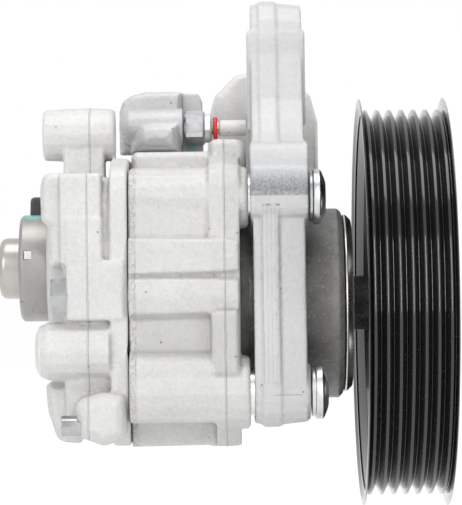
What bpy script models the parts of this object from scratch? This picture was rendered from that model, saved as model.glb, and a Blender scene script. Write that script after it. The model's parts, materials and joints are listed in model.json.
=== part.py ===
"""A power steering pump: a belt-driven vane pump in a cast aluminium housing, with its mounting bracket.

All sizes are in metres. The origin is the centre of the front end of the drive shaft. X runs along the shaft
towards the pulley, so the pump lies on the negative side. Z is up, and Y points away from the viewer, to the engine.
"""

from math import atan2, cos, degrees, pi, radians, sin, sqrt

import bmesh
import bpy
from mathutils import Matrix, Vector

# Fits
GAP = 0.0003  # between pieces that seat on each other
RUN = 0.00015  # beside a vane, a spool or a plunger

# Drive shaft
SHAFT_R = 0.0080
SHAFT_ROTOR_R = 0.0075
SHAFT_STUB = 0.0063  # how far the shaft reaches behind the pressure plate

# Pulley and its hub
PULLEY_R = 0.0605
PULLEY_LIP = 0.0035
PULLEY_GROOVE_DEPTH = 0.0030
PULLEY_WALL = 0.0030
PULLEY_PITCH = 0.00356
PULLEY_GROOVES = 6
PULLEY_FLANGE = 0.0014
PULLEY_FRONT_X = 0.0007
PULLEY_MOUTH = 0.0035
WEB_X = -0.0060
WEB_T = 0.0034
WEB_HOLES = 4
WEB_HOLE_R = 0.0060
WEB_HOLE_RING = 0.0330
HUB_R = 0.0130
HUB_FLANGE_R = 0.0200
HUB_FLANGE_T = 0.0030
HUB_LENGTH = 0.0190

# Neck of the front housing, with the bearing, its rings and the seal
NECK_SETBACK = 0.0299
NECK_L = 0.0305
NECK_WALL = 0.0080
RETAINER_STEP = 0.0018
RETAINER_BORE_R = 0.0165
RETAINER_T = 0.0024
BEARING_R = 0.0200
BEARING_BORE_R = 0.0085
BEARING_W = 0.0120
BALL_SHARE = 0.27  # the balls' radius, as a share of the height between bore and outside
BALL_PLAY = 0.0004  # leaves the balls clear of the flats of the outer ring's facets
BALLS = 8
CIRCLIP_T = 0.0013
SEAL_R = 0.0150
SEAL_W = 0.0065

# Pump cartridge
FACE_WALL = 0.0036
CAM_R = 0.0262
CAM_W = 0.0180
CAM_MINOR_R = 0.0190
CAM_LIFT = 0.0028
SIDE_PLATE_T = 0.0050
PRESSURE_PLATE_T = 0.0062
ROTOR_R = 0.0185
VANES = 10
VANE_T = 0.0016
VANE_H = 0.0072
VANE_SLOT_R = 0.0013
DOWEL_R = 0.0016
DOWEL_RING = 0.0222
DOWEL_ANGLES = (4.0, 184.0)
RUBBER_R = 0.0007
PLATE_SEAL_BACK = 0.0024
SNAP_RING_T = 0.0010

# Housing castings
BODY_WALL = 0.0120
PLATE_IN_HOUSING = 0.0039
BAND_W = 0.0084
LUG_STEP = 0.0029
COVER_FLANGE_T = 0.0051
COVER_DEPTH = 0.0184
COLLAR_REACH = 0.0059
SHOULDER_REACH = 0.0064
COVER_BOLT_R = 0.0030
COVER_BOLT_INSET = 0.0045
COVER_BOLT_ANGLES = (174.0, 65.0, 0.0, -65.0)
COVER_BOLT_THREAD = 0.0110
COVER_HEAD_R = 0.0056
COVER_HEAD_T = 0.0033
HEAD_ROOM = 0.0008
REAR_BOSS_R = 0.0080
REAR_BOSS_Y = -0.0080
REAR_BOSS_Z = 0.0503
REAR_BOSS_HOLE_R = 0.0042
REAR_BOSS_REACH = 0.0068
BUSH_R = 0.0100

# Bracket and the bolts that hold it
BRACKET_SETBACK = 0.0114
BRACKET_T = 0.0149
BRACKET_BOLT_R = 0.0040
BRACKET_BOLT_RING = 0.0418
BRACKET_BOLT_ANGLES = (132.0, 216.0, 349.0)
BRACKET_THREAD = 0.0200
BOLT_HEAD_R = 0.0079
BOLT_HEAD_T = 0.0048
BOLT_FLANGE_T = 0.0012
SLEEVE_R = 0.0068
SLEEVE_SEAT = 0.0030
TOP_BOSS_R = 0.0127
TOP_BOSS_Y = -0.0040
TOP_BOSS_Z = 0.0766
ENGINE_HOLE_R = 0.0045
PAD_Y = 0.0340
PAD_T = 0.0120
PAD_R = 0.0172
PAD_SHIFT = 0.0039
PAD_TOP_HOLE_Z = 0.0552
PAD_LOW_HOLE_Z = 0.0240

# Flow valve
SPOOL_R = 0.0050
SPOOL_L = 0.0120
SPOOL_WALL = 0.0037
SPOOL_ANGLE = 200.5
SPOOL_BORE_L = 0.0210
SPRING_POCKET_L = 0.0105
SPRING_R = 0.0030
SPRING_WIRE_R = 0.0005

# Solenoid
CAN_R = 0.01575
CAN_WALL = 0.0012
CAN_Z = 0.0113
CAN_REACH = 0.0083
CAN_L = 0.0200
COIL_SPACE = 0.00675
CORE_WALL = 0.0022
CORE_REACH = 0.0063
CORE_END_WALL = 0.0025
COIL_ROOM = 0.0004
ARMATURE_L = 0.0115
ARMATURE_ROOM = 0.0070
PIN_R = 0.0012
PIN_L = 0.0050
CONNECTOR_SETBACK = 0.0019
CONNECTOR_W = 0.0082
CONNECTOR_Y = 0.0075
CONNECTOR_L = 0.0215
CONNECTOR_DROP = 0.0080
CONNECTOR_RISE = 0.0055
SOCKET_WALL = 0.0016
SOCKET_DEPTH = 0.0095

# Inlet and outlet fittings
PORT_Y = 0.0140
PORT_R = 0.0050
BLOCK_TOP_Z = 0.0449
ELBOW_OVERHANG = 0.0040
ELBOW_W = 0.0192
ELBOW_H = 0.0191
TUBE_R = 0.0055
TUBE_RISE = 0.0085
NOZZLE_R = 0.0068
NOZZLE_WALL = 0.0016
NOZZLE_L = 0.0190
NOZZLE_BEAD = 0.0008
UNION_HEX_R = 0.0054
UNION_HEX_L = 0.0063
UNION_BARREL_R = 0.0044
UNION_BARREL_L = 0.0021
RED_RING_R = 0.0035
RED_RING_W = 0.0015
STUB_CORE_R = 0.0020
PIPE_R = 0.0024

# Plug and channel boss at the lower rear
PLUG_R = 0.0030
PLUG_L = 0.0097
PLUG_Y = -0.0376
PLUG_Z = -0.0335
CHANNEL_REACH = 0.0156

# Places that follow from the sizes above
PULLEY_RIDGE_R = PULLEY_R - PULLEY_LIP
PULLEY_GROOVE_R = PULLEY_RIDGE_R - PULLEY_GROOVE_DEPTH
PULLEY_W = 2 * PULLEY_FLANGE + PULLEY_PITCH * PULLEY_GROOVES + 0.00114
PULLEY_REAR_X = PULLEY_FRONT_X - PULLEY_W
HUB_BORE_R = SHAFT_R + GAP
SHAFT_BEARING_R = BEARING_BORE_R - GAP
BALL_R = (BEARING_R - BEARING_BORE_R) * BALL_SHARE
BEARING_PITCH_R = (BEARING_R + BEARING_BORE_R) / 2
NECK_R = BEARING_R + NECK_WALL
NECK_FRONT_X = -NECK_SETBACK
RETAINER_R = NECK_R - RETAINER_STEP
RETAINER_REAR_X = NECK_FRONT_X + GAP
CIRCLIP_FRONT_X = NECK_FRONT_X - 0.0012
BEARING_FRONT_X = CIRCLIP_FRONT_X - CIRCLIP_T - GAP
BEARING_REAR_X = BEARING_FRONT_X - BEARING_W
SEAL_FRONT_X = BEARING_REAR_X - 0.0022
SEAL_REAR_X = SEAL_FRONT_X - SEAL_W
FRONT_FACE_X = NECK_FRONT_X - NECK_L
LUG_FACE_X = FRONT_FACE_X + LUG_STEP
CAVITY_X = FRONT_FACE_X - FACE_WALL
CAVITY_R = CAM_R + GAP
BODY_R = CAVITY_R + BODY_WALL
SIDE_PLATE_FRONT_X = CAVITY_X - GAP
CAM_FRONT_X = SIDE_PLATE_FRONT_X - SIDE_PLATE_T - GAP
CAM_REAR_X = CAM_FRONT_X - CAM_W
ROTOR_FRONT_X = CAM_FRONT_X - RUN
ROTOR_REAR_X = CAM_REAR_X + RUN
PLATE_FRONT_X = CAM_REAR_X - GAP
PLATE_REAR_X = PLATE_FRONT_X - PRESSURE_PLATE_T
JOINT_X = PLATE_FRONT_X - PLATE_IN_HOUSING
RECESS_X = PLATE_REAR_X - GAP
SHAFT_REAR_X = PLATE_REAR_X - SHAFT_STUB
BUSH_REAR_X = SHAFT_REAR_X + 0.0006
COVER_FRONT_X = JOINT_X - GAP
COVER_BACK_X = COVER_FRONT_X - COVER_DEPTH
COLLAR_X = COVER_BACK_X - COLLAR_REACH
SHOULDER_X = COVER_BACK_X - SHOULDER_REACH
COVER_BOLT_RING = BODY_R - COVER_BOLT_INSET
COVER_THREAD_X = JOINT_X + COVER_BOLT_THREAD
BRACKET_FRONT_X = NECK_FRONT_X - BRACKET_SETBACK
BRACKET_BACK_X = BRACKET_FRONT_X - BRACKET_T
BOLT_SEAT_X = BRACKET_FRONT_X + 0.0009
BOLT_TIP_X = LUG_FACE_X - BRACKET_THREAD
PAD_X = BRACKET_BACK_X + PAD_SHIFT
PAD_FACE_Y = PAD_Y + PAD_T
SPOOL_RING = CAVITY_R + SPOOL_WALL + SPOOL_R
CAN_BACK_X = COLLAR_X - CAN_REACH
CAN_FRONT_X = CAN_BACK_X + CAN_L
CORE_BACK_X = CAN_BACK_X - CORE_REACH
CORE_R = CAN_R - COIL_SPACE
CORE_BORE_R = CORE_R - CORE_WALL
COIL_R = CAN_R - CAN_WALL - COIL_ROOM
ARMATURE_BACK_X = CORE_BACK_X + CORE_END_WALL + ARMATURE_ROOM
CONNECTOR_LOW = (CAN_BACK_X + CONNECTOR_SETBACK, CONNECTOR_Y, CAN_Z + CAN_R - CONNECTOR_DROP)
CONNECTOR_HIGH = (CONNECTOR_LOW[0] + CONNECTOR_W, CONNECTOR_Y + CONNECTOR_L, CAN_Z + CAN_R + CONNECTOR_RISE)
ELBOW_LEFT_X = JOINT_X - ELBOW_OVERHANG
ELBOW_RIGHT_X = ELBOW_LEFT_X + ELBOW_W
ELBOW_TOP_Z = BLOCK_TOP_Z + ELBOW_H
TUBE_Z = BLOCK_TOP_Z + TUBE_RISE
CHANNEL_BACK_X = COVER_FRONT_X - CHANNEL_REACH

# Facets round a full turn, by the size of the piece
LARGE_TURN = 24
MIDDLE_TURN = 16
SMALL_TURN = 10
HOLE_TURN = 8

# Colour, roughness and metallic value of each finish
CAST_ALUMINIUM = ((0.62, 0.62, 0.61), 0.48, 0.85)
MACHINED_ALUMINIUM = ((0.74, 0.74, 0.74), 0.28, 1.0)
BRIGHT_STEEL = ((0.70, 0.70, 0.69), 0.20, 1.0)
DARK_STEEL = ((0.20, 0.19, 0.18), 0.35, 1.0)
ZINC_PLATE = ((0.66, 0.68, 0.69), 0.24, 1.0)
BLACK_PAINT = ((0.012, 0.012, 0.013), 0.22, 0.0)
BLACK_PLASTIC = ((0.03, 0.03, 0.03), 0.50, 0.0)
CAN_STEEL = ((0.45, 0.43, 0.41), 0.38, 0.9)
RED_RUBBER = ((0.60, 0.05, 0.04), 0.45, 0.0)
BLACK_RUBBER = ((0.02, 0.02, 0.02), 0.60, 0.0)
BRONZE = ((0.55, 0.36, 0.18), 0.35, 1.0)
COPPER_WIRE = ((0.62, 0.26, 0.12), 0.35, 1.0)


def folder(name):
    made = bpy.data.collections.new(name)
    bpy.context.scene.collection.children.link(made)
    return made


for old in list(bpy.data.objects):
    bpy.data.objects.remove(old, do_unlink=True)
PARTS = folder("power_steering_pump")
TOOLS = folder("cutters")


def place(name, mesh, finish, tool=False):
    """Puts a mesh in the scene as a named sub-part with its own material, or as a hidden tool of one."""
    obj = bpy.data.objects.new(name, mesh)
    (TOOLS if tool else PARTS).objects.link(obj)
    if tool:
        obj.hide_render = True
        obj.display_type = "WIRE"
        return obj
    colour, roughness, metallic = finish
    material = bpy.data.materials.new(name + "_finish")
    material.use_nodes = True
    shader = material.node_tree.nodes["Principled BSDF"]
    shader.inputs["Base Color"].default_value = (*colour, 1.0)
    shader.inputs["Roughness"].default_value = roughness
    shader.inputs["Metallic"].default_value = metallic
    mesh.materials.append(material)
    return obj


def mesh_of(name, bm):
    bmesh.ops.recalc_face_normals(bm, faces=bm.faces)
    mesh = bpy.data.meshes.new(name)
    bm.to_mesh(mesh)
    bm.free()
    mesh.shade_smooth()
    mesh.set_sharp_from_angle(angle=radians(32))
    return mesh


def turned(name, profile, finish=None, centre=(0.0, 0.0), segments=MIDDLE_TURN, tool=False):
    """A solid of revolution about X. The profile holds (x, radius), from the front along the outside to the rear."""
    points = [(radius, 0.0, x) for x, radius in profile]
    links = [(i, i + 1) for i in range(len(points) - 1) if profile[i][1] > 0.0 or profile[i + 1][1] > 0.0]
    if profile[0][1] > 0.0:
        links.append((len(points) - 1, 0))
    mesh = bpy.data.meshes.new(name)
    mesh.from_pydata(points, links, [])
    obj = place(name, mesh, finish, tool)
    obj.location = (0.0, centre[0], centre[1])
    obj.rotation_euler = (0.0, pi / 2, 0.0)
    screw = obj.modifiers.new("turn", "SCREW")
    screw.axis = "Z"
    screw.angle = 2 * pi
    screw.screw_offset = 0.0
    screw.steps = segments
    screw.render_steps = segments
    screw.use_merge_vertices = True
    screw.merge_threshold = 0.00001
    return obj


def rod(name, rear, front, radius, finish=None, centre=(0.0, 0.0), segments=SMALL_TURN, tool=False):
    """A plain round bar along X."""
    profile = [(front, 0.0), (front, radius), (rear, radius), (rear, 0.0)]
    return turned(name, profile, finish, centre, segments, tool)


def washer(name, rear, front, radius, bore, finish=None, centre=(0.0, 0.0), segments=MIDDLE_TURN, tool=False):
    """A plain ring about X."""
    profile = [(front, radius), (rear, radius), (rear, bore), (front, bore)]
    return turned(name, profile, finish, centre, segments, tool)


def lofted(name, sections, finish=None, tool=False):
    """A solid through sections that have equally many points, closed by a face at each end."""
    bm = bmesh.new()
    rows = [[bm.verts.new(point) for point in section] for section in sections]
    for near, far in zip(rows, rows[1:]):
        for i in range(len(near)):
            j = (i + 1) % len(near)
            bm.faces.new((near[i], near[j], far[j], far[i]))
    bm.faces.new(rows[0])
    bm.faces.new(rows[-1])
    return place(name, mesh_of(name, bm), finish, tool)


def drum(name, centre, radius, length, axis, finish=None, segments=SMALL_TURN, tool=False):
    """A round bar whose middle is at centre, along Y or Z."""
    bm = bmesh.new()
    turn = Matrix.Rotation(pi / 2, 4, "X") if axis == "Y" else Matrix.Identity(4)
    bmesh.ops.create_cone(
        bm, cap_ends=True, segments=segments, radius1=radius, radius2=radius, depth=length,
        matrix=Matrix.Translation(centre) @ turn,
    )
    return place(name, mesh_of(name, bm), finish, tool)


def block(name, low, high, finish=None, bevel=0.0, tool=False):
    """A box between two corners, with its edges rounded by a Bevel modifier."""
    bm = bmesh.new()
    bmesh.ops.create_cube(bm, size=1.0)
    for vert in bm.verts:
        for k in range(3):
            vert.co[k] = low[k] if vert.co[k] < 0.0 else high[k]
    obj = place(name, mesh_of(name, bm), finish, tool)
    if bevel:
        soften(obj, bevel)
    return obj


def soften(obj, width, segments=1):
    bevel = obj.modifiers.new("rounded_edges", "BEVEL")
    bevel.width = width
    bevel.segments = segments
    bevel.limit_method = "ANGLE"
    bevel.angle_limit = radians(40)


def combine(target, tool, operation):
    step = target.modifiers.new(operation.lower(), "BOOLEAN")
    step.operation = operation
    step.solver = "EXACT"
    step.object = tool


def join(target, *tools):
    for tool in tools:
        combine(target, tool, "UNION")


def cut(target, *tools):
    for tool in tools:
        combine(target, tool, "DIFFERENCE")


def polar(radius, angle):
    """(y, z) at an angle in degrees from +Y towards +Z."""
    return radius * cos(radians(angle)), radius * sin(radians(angle))


def arc(centre, radius, start, end, steps):
    """Points of an arc in a plane, angles in degrees."""
    return [
        (centre[0] + radius * cos(radians(start + (end - start) * i / steps)),
         centre[1] + radius * sin(radians(start + (end - start) * i / steps)))
        for i in range(steps + 1)
    ]


def filleted(corners, step=36.0):
    """An outline from corners (u, v, radius). A corner with a radius becomes an arc, a point every step degrees."""
    outline = []
    for i, (u, v, radius) in enumerate(corners):
        here = Vector((u, v))
        before = Vector(corners[i - 1][:2]) - here
        after = Vector(corners[(i + 1) % len(corners)][:2]) - here
        half = before.angle(after) / 2
        if radius <= 0.0 or half > radians(88):
            outline.append((u, v))
            continue
        reach = radius / (sin(half) / cos(half))
        centre = here + (before.normalized() + after.normalized()).normalized() * radius / sin(half)
        first = here + before.normalized() * reach - centre
        last = here + after.normalized() * reach - centre
        sweep = first.angle_signed(last)
        steps = max(1 if radius < 0.0015 else 2, round(abs(degrees(sweep)) / step))
        for k in range(steps + 1):
            spoke = first.copy()
            spoke.rotate(Matrix.Rotation(-sweep * k / steps, 2))
            outline.append(tuple(centre + spoke))
    return outline


def inset(outline, depth):
    """The outline moved inwards by depth, along the mean normal at each point."""
    area = sum(a[0] * b[1] - b[0] * a[1] for a, b in zip(outline, outline[1:] + outline[:1]))
    side = 1.0 if area > 0.0 else -1.0
    moved = []
    for i, point in enumerate(outline):
        here = Vector(point)
        before = (here - Vector(outline[i - 1])).normalized()
        after = (Vector(outline[(i + 1) % len(outline)]) - here).normalized()
        normal = (Vector((-before.y, before.x)) + Vector((-after.y, after.x))).normalized() * side
        share = max(0.5, normal.dot(Vector((-after.y, after.x)) * side))
        moved.append(tuple(here + normal * depth / share))
    return moved


def cast_x(name, outline, stations, finish=None, tool=False):
    """A casting along X: the YZ outline, pulled in by the draft that each station (x, draft) gives."""
    sections = [[(x, y, z) for y, z in inset(outline, draft)] for x, draft in stations]
    return lofted(name, sections, finish, tool)


def cast_y(name, outline, stations, finish=None, tool=False):
    """A casting along Y: the XZ outline, pulled in by the draft that each station (y, draft) gives."""
    sections = [[(x, y, z) for x, z in inset(outline, draft)] for y, draft in stations]
    return lofted(name, sections, finish, tool)


def hexagon(radius, turn=0.0):
    return [polar(radius, turn + 60.0 * i) for i in range(6)]


def helix(name, rear, front, centre, radius, wire, turns, finish):
    """A compression spring along X, as a wire bent round its axis."""
    steps = 6
    curve = bpy.data.curves.new(name, "CURVE")
    curve.dimensions = "3D"
    curve.bevel_depth = wire
    curve.bevel_resolution = 0
    curve.use_fill_caps = True
    spline = curve.splines.new("POLY")
    count = turns * steps
    spline.points.add(count)
    length = front - rear - 2 * wire
    for i, point in enumerate(spline.points):
        y, z = polar(radius, 360.0 * i / steps)
        point.co = (rear + wire + length * i / count, y, z, 1.0)
    obj = place(name, curve, finish)
    obj.location = (0.0, centre[0], centre[1])
    return obj


# The shaft with its pulley and hub


def make_drive_shaft():
    chamfer = 0.0006
    profile = [
        (0.0, 0.0),
        (0.0, SHAFT_R - chamfer),
        (-chamfer, SHAFT_R),
        (BEARING_FRONT_X + chamfer, SHAFT_R),
        (BEARING_FRONT_X, SHAFT_BEARING_R),
        (BEARING_REAR_X, SHAFT_BEARING_R),
        (BEARING_REAR_X - chamfer, SHAFT_R),
        (SEAL_REAR_X - chamfer, SHAFT_R),
        (SEAL_REAR_X - 2 * chamfer, SHAFT_ROTOR_R),
        (SHAFT_REAR_X + chamfer, SHAFT_ROTOR_R),
        (SHAFT_REAR_X, SHAFT_ROTOR_R - chamfer),
        (SHAFT_REAR_X, 0.0),
    ]
    return turned("drive_shaft", profile, DARK_STEEL)


def groove_profile():
    """The ribbed rim from its front flange to its rear one."""
    tip = 0.00040
    half = PULLEY_PITCH / 2
    lip = PULLEY_FLANGE / 2
    points = [(PULLEY_FRONT_X, PULLEY_R - lip), (PULLEY_FRONT_X - lip / 2, PULLEY_R)]
    first = PULLEY_FRONT_X - (PULLEY_W - PULLEY_PITCH * PULLEY_GROOVES) / 2
    points.append((first + half / 2 + tip / 2, (PULLEY_GROOVE_R + PULLEY_RIDGE_R) / 2))
    for i in range(PULLEY_GROOVES + 1):
        ridge = first - PULLEY_PITCH * i
        points.append((ridge + tip, PULLEY_RIDGE_R))
        points.append((ridge - tip, PULLEY_RIDGE_R))
        if i < PULLEY_GROOVES:
            points.append((ridge - half, PULLEY_GROOVE_R))
    last = first - PULLEY_PITCH * PULLEY_GROOVES
    points.append((last - half / 2 - tip / 2, (PULLEY_GROOVE_R + PULLEY_RIDGE_R) / 2))
    points.append((PULLEY_REAR_X + lip / 2, PULLEY_R))
    points.append((PULLEY_REAR_X, PULLEY_R - lip))
    return points


def make_pulley():
    inner = PULLEY_GROOVE_R - PULLEY_WALL
    bend = 0.0030
    web_rear = WEB_X - WEB_T
    bore = HUB_R + GAP
    inside = [
        (PULLEY_REAR_X, PULLEY_R - 3 * PULLEY_FLANGE / 2),
        (PULLEY_REAR_X + PULLEY_MOUTH, inner),
        (web_rear - bend, inner),
        (web_rear, inner - bend),
        (web_rear, bore),
        (WEB_X, bore),
        (WEB_X, inner - bend),
        (WEB_X + bend, inner),
        (PULLEY_FRONT_X - PULLEY_MOUTH / 2, inner),
        (PULLEY_FRONT_X, PULLEY_R - 5 * PULLEY_FLANGE / 2),
    ]
    pulley = turned("pulley", groove_profile() + inside, BLACK_PAINT, segments=LARGE_TURN)
    for i in range(WEB_HOLES):
        hole = rod("web_hole", web_rear - 0.002, WEB_X + 0.002, WEB_HOLE_R,
                   centre=polar(WEB_HOLE_RING, 45.0 + 360.0 * i / WEB_HOLES), tool=True)
        cut(pulley, hole)
    return pulley


def make_pulley_hub():
    front = -0.0006
    flange_rear = WEB_X - WEB_T - GAP
    flange_front = flange_rear - HUB_FLANGE_T
    profile = [
        (front, HUB_R - 0.0006),
        (front - 0.0006, HUB_R),
        (flange_rear, HUB_R),
        (flange_rear, HUB_FLANGE_R),
        (flange_front, HUB_FLANGE_R),
        (flange_front - 0.0020, HUB_R),
        (front - HUB_LENGTH + 0.0008, HUB_R),
        (front - HUB_LENGTH, HUB_R - 0.0008),
        (front - HUB_LENGTH, HUB_BORE_R),
        (front, HUB_BORE_R),
    ]
    return turned("pulley_hub", profile, BLACK_PAINT)


# The bearing and the seal in the neck


def raceway(pitch, side):
    """Points of the groove that the balls run in, on the ring outside (side 1) or inside (side -1) of them."""
    radius = BALL_R + BALL_PLAY
    middle = BEARING_FRONT_X - BEARING_W / 2
    depth = radius * 0.70
    half = sqrt(radius ** 2 - depth ** 2)
    steps = 2
    points = []
    for i in range(steps + 1):
        angle = (2 * i / steps - 1) * atan2(half, depth)
        points.append((middle + radius * sin(angle), pitch + side * radius * cos(angle)))
    return points


def make_bearing():
    chamfer = 0.0006
    pitch = BEARING_PITCH_R
    front, rear = BEARING_FRONT_X, BEARING_REAR_X
    shoulder = (BALL_R + BALL_PLAY) * 0.70
    outer = [
        (front, BEARING_R - chamfer), (front - chamfer, BEARING_R),
        (rear + chamfer, BEARING_R), (rear, BEARING_R - chamfer),
        (rear, pitch + shoulder), *raceway(pitch, 1), (front, pitch + shoulder),
    ]
    turned("bearing_outer_ring", outer, BRIGHT_STEEL)
    groove = list(reversed(raceway(pitch, -1)))
    inner = [
        (front, pitch - shoulder), *groove, (rear, pitch - shoulder),
        (rear, BEARING_BORE_R), (front, BEARING_BORE_R),
    ]
    turned("bearing_inner_ring", inner, BRIGHT_STEEL)
    middle = BEARING_FRONT_X - BEARING_W / 2
    half = 0.0020
    thick = 0.0007
    cage = washer("bearing_cage_with_balls", middle - half, middle + half, pitch + thick, pitch - thick,
                  BRIGHT_STEEL)
    for i in range(BALLS):
        y, z = polar(pitch, 360.0 * i / BALLS)
        bm = bmesh.new()
        bmesh.ops.create_uvsphere(bm, u_segments=6, v_segments=4, radius=BALL_R,
                                  matrix=Matrix.Translation((middle, y, z)))
        join(cage, place("ball", mesh_of("ball", bm), None, tool=True))
    return cage


def make_neck_rings():
    edge = 0.0016
    front = RETAINER_REAR_X + RETAINER_T
    retainer = [
        (front, RETAINER_R - edge), (front - edge, RETAINER_R), (RETAINER_REAR_X, RETAINER_R),
        (RETAINER_REAR_X, RETAINER_BORE_R), (front, RETAINER_BORE_R),
    ]
    turned("bearing_retainer_ring", retainer, BRIGHT_STEEL, segments=LARGE_TURN)
    circlip = washer("bearing_circlip", CIRCLIP_FRONT_X - CIRCLIP_T, CIRCLIP_FRONT_X,
                     BEARING_R + 0.0008, BEARING_R - 0.0022, DARK_STEEL)
    gap_low = (CIRCLIP_FRONT_X - 2 * CIRCLIP_T, BEARING_R - 0.0060, -0.0020)
    gap_high = (CIRCLIP_FRONT_X + CIRCLIP_T, BEARING_R + 0.0060, 0.0020)
    cut(circlip, block("circlip_gap", gap_low, gap_high, tool=True))
    wall = 0.0014
    lip = SHAFT_R + GAP
    seal = [
        (SEAL_FRONT_X, SEAL_R), (SEAL_REAR_X, SEAL_R), (SEAL_REAR_X, SEAL_R - wall),
        (SEAL_FRONT_X - wall, SEAL_R - wall), (SEAL_FRONT_X - wall, lip + 0.0030),
        (SEAL_REAR_X + wall, lip + 0.0022), (SEAL_REAR_X + wall, lip + 0.0006),
        (SEAL_REAR_X + 2 * wall, lip), (SEAL_FRONT_X - wall, lip + 0.0010), (SEAL_FRONT_X, lip + 0.0010),
    ]
    turned("shaft_seal", seal, BLACK_RUBBER, segments=MIDDLE_TURN)


# The pump cartridge


def cam_radius(angle):
    """The cam ring's bore at an angle in degrees from +Y: two lobes, with a smooth rise between them."""
    return CAM_MINOR_R + CAM_LIFT * sin(radians(angle)) ** 2


def vane_angle(i):
    return 180.0 / VANES + 360.0 * i / VANES


def make_cam_ring():
    ring = rod("cam_ring", CAM_REAR_X, CAM_FRONT_X, CAM_R, DARK_STEEL, segments=LARGE_TURN)
    steps = 48
    bore = [polar(cam_radius(360.0 * i / steps), 360.0 * i / steps) for i in range(steps)]
    cut(ring, cast_x("cam_bore", bore, [(CAM_REAR_X - 0.001, 0.0), (CAM_FRONT_X + 0.001, 0.0)], tool=True))
    for angle in DOWEL_ANGLES:
        cut(ring, rod("dowel_hole", CAM_REAR_X - 0.001, CAM_FRONT_X + 0.001, DOWEL_R + GAP,
                      centre=polar(DOWEL_RING, angle), segments=HOLE_TURN, tool=True))
    return ring


def kidney(name, angle, sweep, inner, outer, rear, front):
    """A curved slot between two radii, as seen in the face of a port plate."""
    steps = 2
    mean = (inner + outer) / 2
    end = (outer - inner) / 2
    outline = [polar(outer, angle - sweep / 2 + sweep * i / steps) for i in range(steps + 1)]
    tip = polar(mean, angle + sweep / 2)
    spin = angle + sweep / 2
    outline += [(tip[0] + end * cos(radians(spin + t)), tip[1] + end * sin(radians(spin + t))) for t in (60,
                                                                                                         120)]
    outline += [polar(inner, angle + sweep / 2 - sweep * i / steps) for i in range(steps + 1)]
    tip = polar(mean, angle - sweep / 2)
    spin = angle - sweep / 2
    outline += [(tip[0] + end * cos(radians(spin + t)), tip[1] + end * sin(radians(spin + t))) for t in (240,
                                                                                                         300)]
    return cast_x(name, outline, [(rear, 0.0), (front, 0.0)], tool=True)


def port_plate(name, rear, front, bore, face_x, finish):
    """A port plate: shaft hole, four kidney ports, a ring groove that feeds the vane slots, two dowel holes."""
    plate = washer(name, rear, front, CAM_R, bore, finish, segments=LARGE_TURN)
    mean = (CAM_MINOR_R + CAM_LIFT / 2)
    for angle in (45.0, 135.0, 225.0, 315.0):
        cut(plate, kidney("port", angle, 34.0, mean - 0.0020, mean + 0.0014, rear - 0.001, front + 0.001))
    slot_r = CAM_MINOR_R - VANE_H - VANE_SLOT_R
    deep = 0.0010
    low, high = sorted((face_x - deep, face_x + deep))
    cut(plate, washer("vane_feed", low, high, slot_r + 0.0008, slot_r - 0.0008, tool=True))
    for angle in DOWEL_ANGLES:
        cut(plate, rod("dowel_hole", rear - 0.001, front + 0.001, DOWEL_R + GAP,
                       centre=polar(DOWEL_RING, angle), segments=HOLE_TURN, tool=True))
    return plate


def make_plates():
    port_plate("side_plate", CAM_FRONT_X + GAP, SIDE_PLATE_FRONT_X, SHAFT_R + GAP,
               CAM_FRONT_X + GAP, MACHINED_ALUMINIUM)
    plate = port_plate("pressure_plate", PLATE_REAR_X, PLATE_FRONT_X, SHAFT_ROTOR_R + GAP,
                       PLATE_FRONT_X, MACHINED_ALUMINIUM)
    middle = PLATE_FRONT_X - PLATE_SEAL_BACK
    half = RUBBER_R + RUN
    floor = CAM_R - 2 * RUBBER_R - GAP
    cut(plate, washer("seal_groove", middle - half, middle + half, CAM_R + 0.001, floor, tool=True,
                      segments=LARGE_TURN))
    ring_r = floor + RUBBER_R + RUN
    section = arc((middle, ring_r), RUBBER_R, 90.0, 450.0, 6)[:-1]
    turned("pressure_plate_seal", section, BLACK_RUBBER, segments=LARGE_TURN)
    for i, angle in enumerate(DOWEL_ANGLES):
        rod(f"dowel_pin_{i + 1}", PLATE_REAR_X + 0.0006, SIDE_PLATE_FRONT_X - 0.0006, DOWEL_R, BRIGHT_STEEL,
            centre=polar(DOWEL_RING, angle), segments=HOLE_TURN)


def make_rotor():
    rotor = washer("rotor", ROTOR_REAR_X, ROTOR_FRONT_X, ROTOR_R, SHAFT_ROTOR_R + GAP, DARK_STEEL,
                   segments=30)
    root = CAM_MINOR_R - RUN - VANE_H - RUN
    half = VANE_T / 2 + RUN
    for i in range(VANES):
        angle = vane_angle(i)
        seat = sqrt(VANE_SLOT_R ** 2 - half ** 2)
        centre = root - seat + 0.0002
        slot = [(half, ROTOR_R + 0.002), (-half, ROTOR_R + 0.002)]
        start = degrees(atan2(seat, -half))
        slot += [(x, centre + y) for x, y in arc((0.0, 0.0), VANE_SLOT_R, start, 540.0 - start, 4)]
        turn = Matrix.Rotation(radians(angle - 90.0), 2)
        outline = [tuple(turn @ Vector(point)) for point in slot]
        ends = [(ROTOR_REAR_X - 0.001, 0.0), (ROTOR_FRONT_X + 0.001, 0.0)]
        cut(rotor, cast_x("vane_slot", outline, ends, tool=True))
    return rotor


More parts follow.
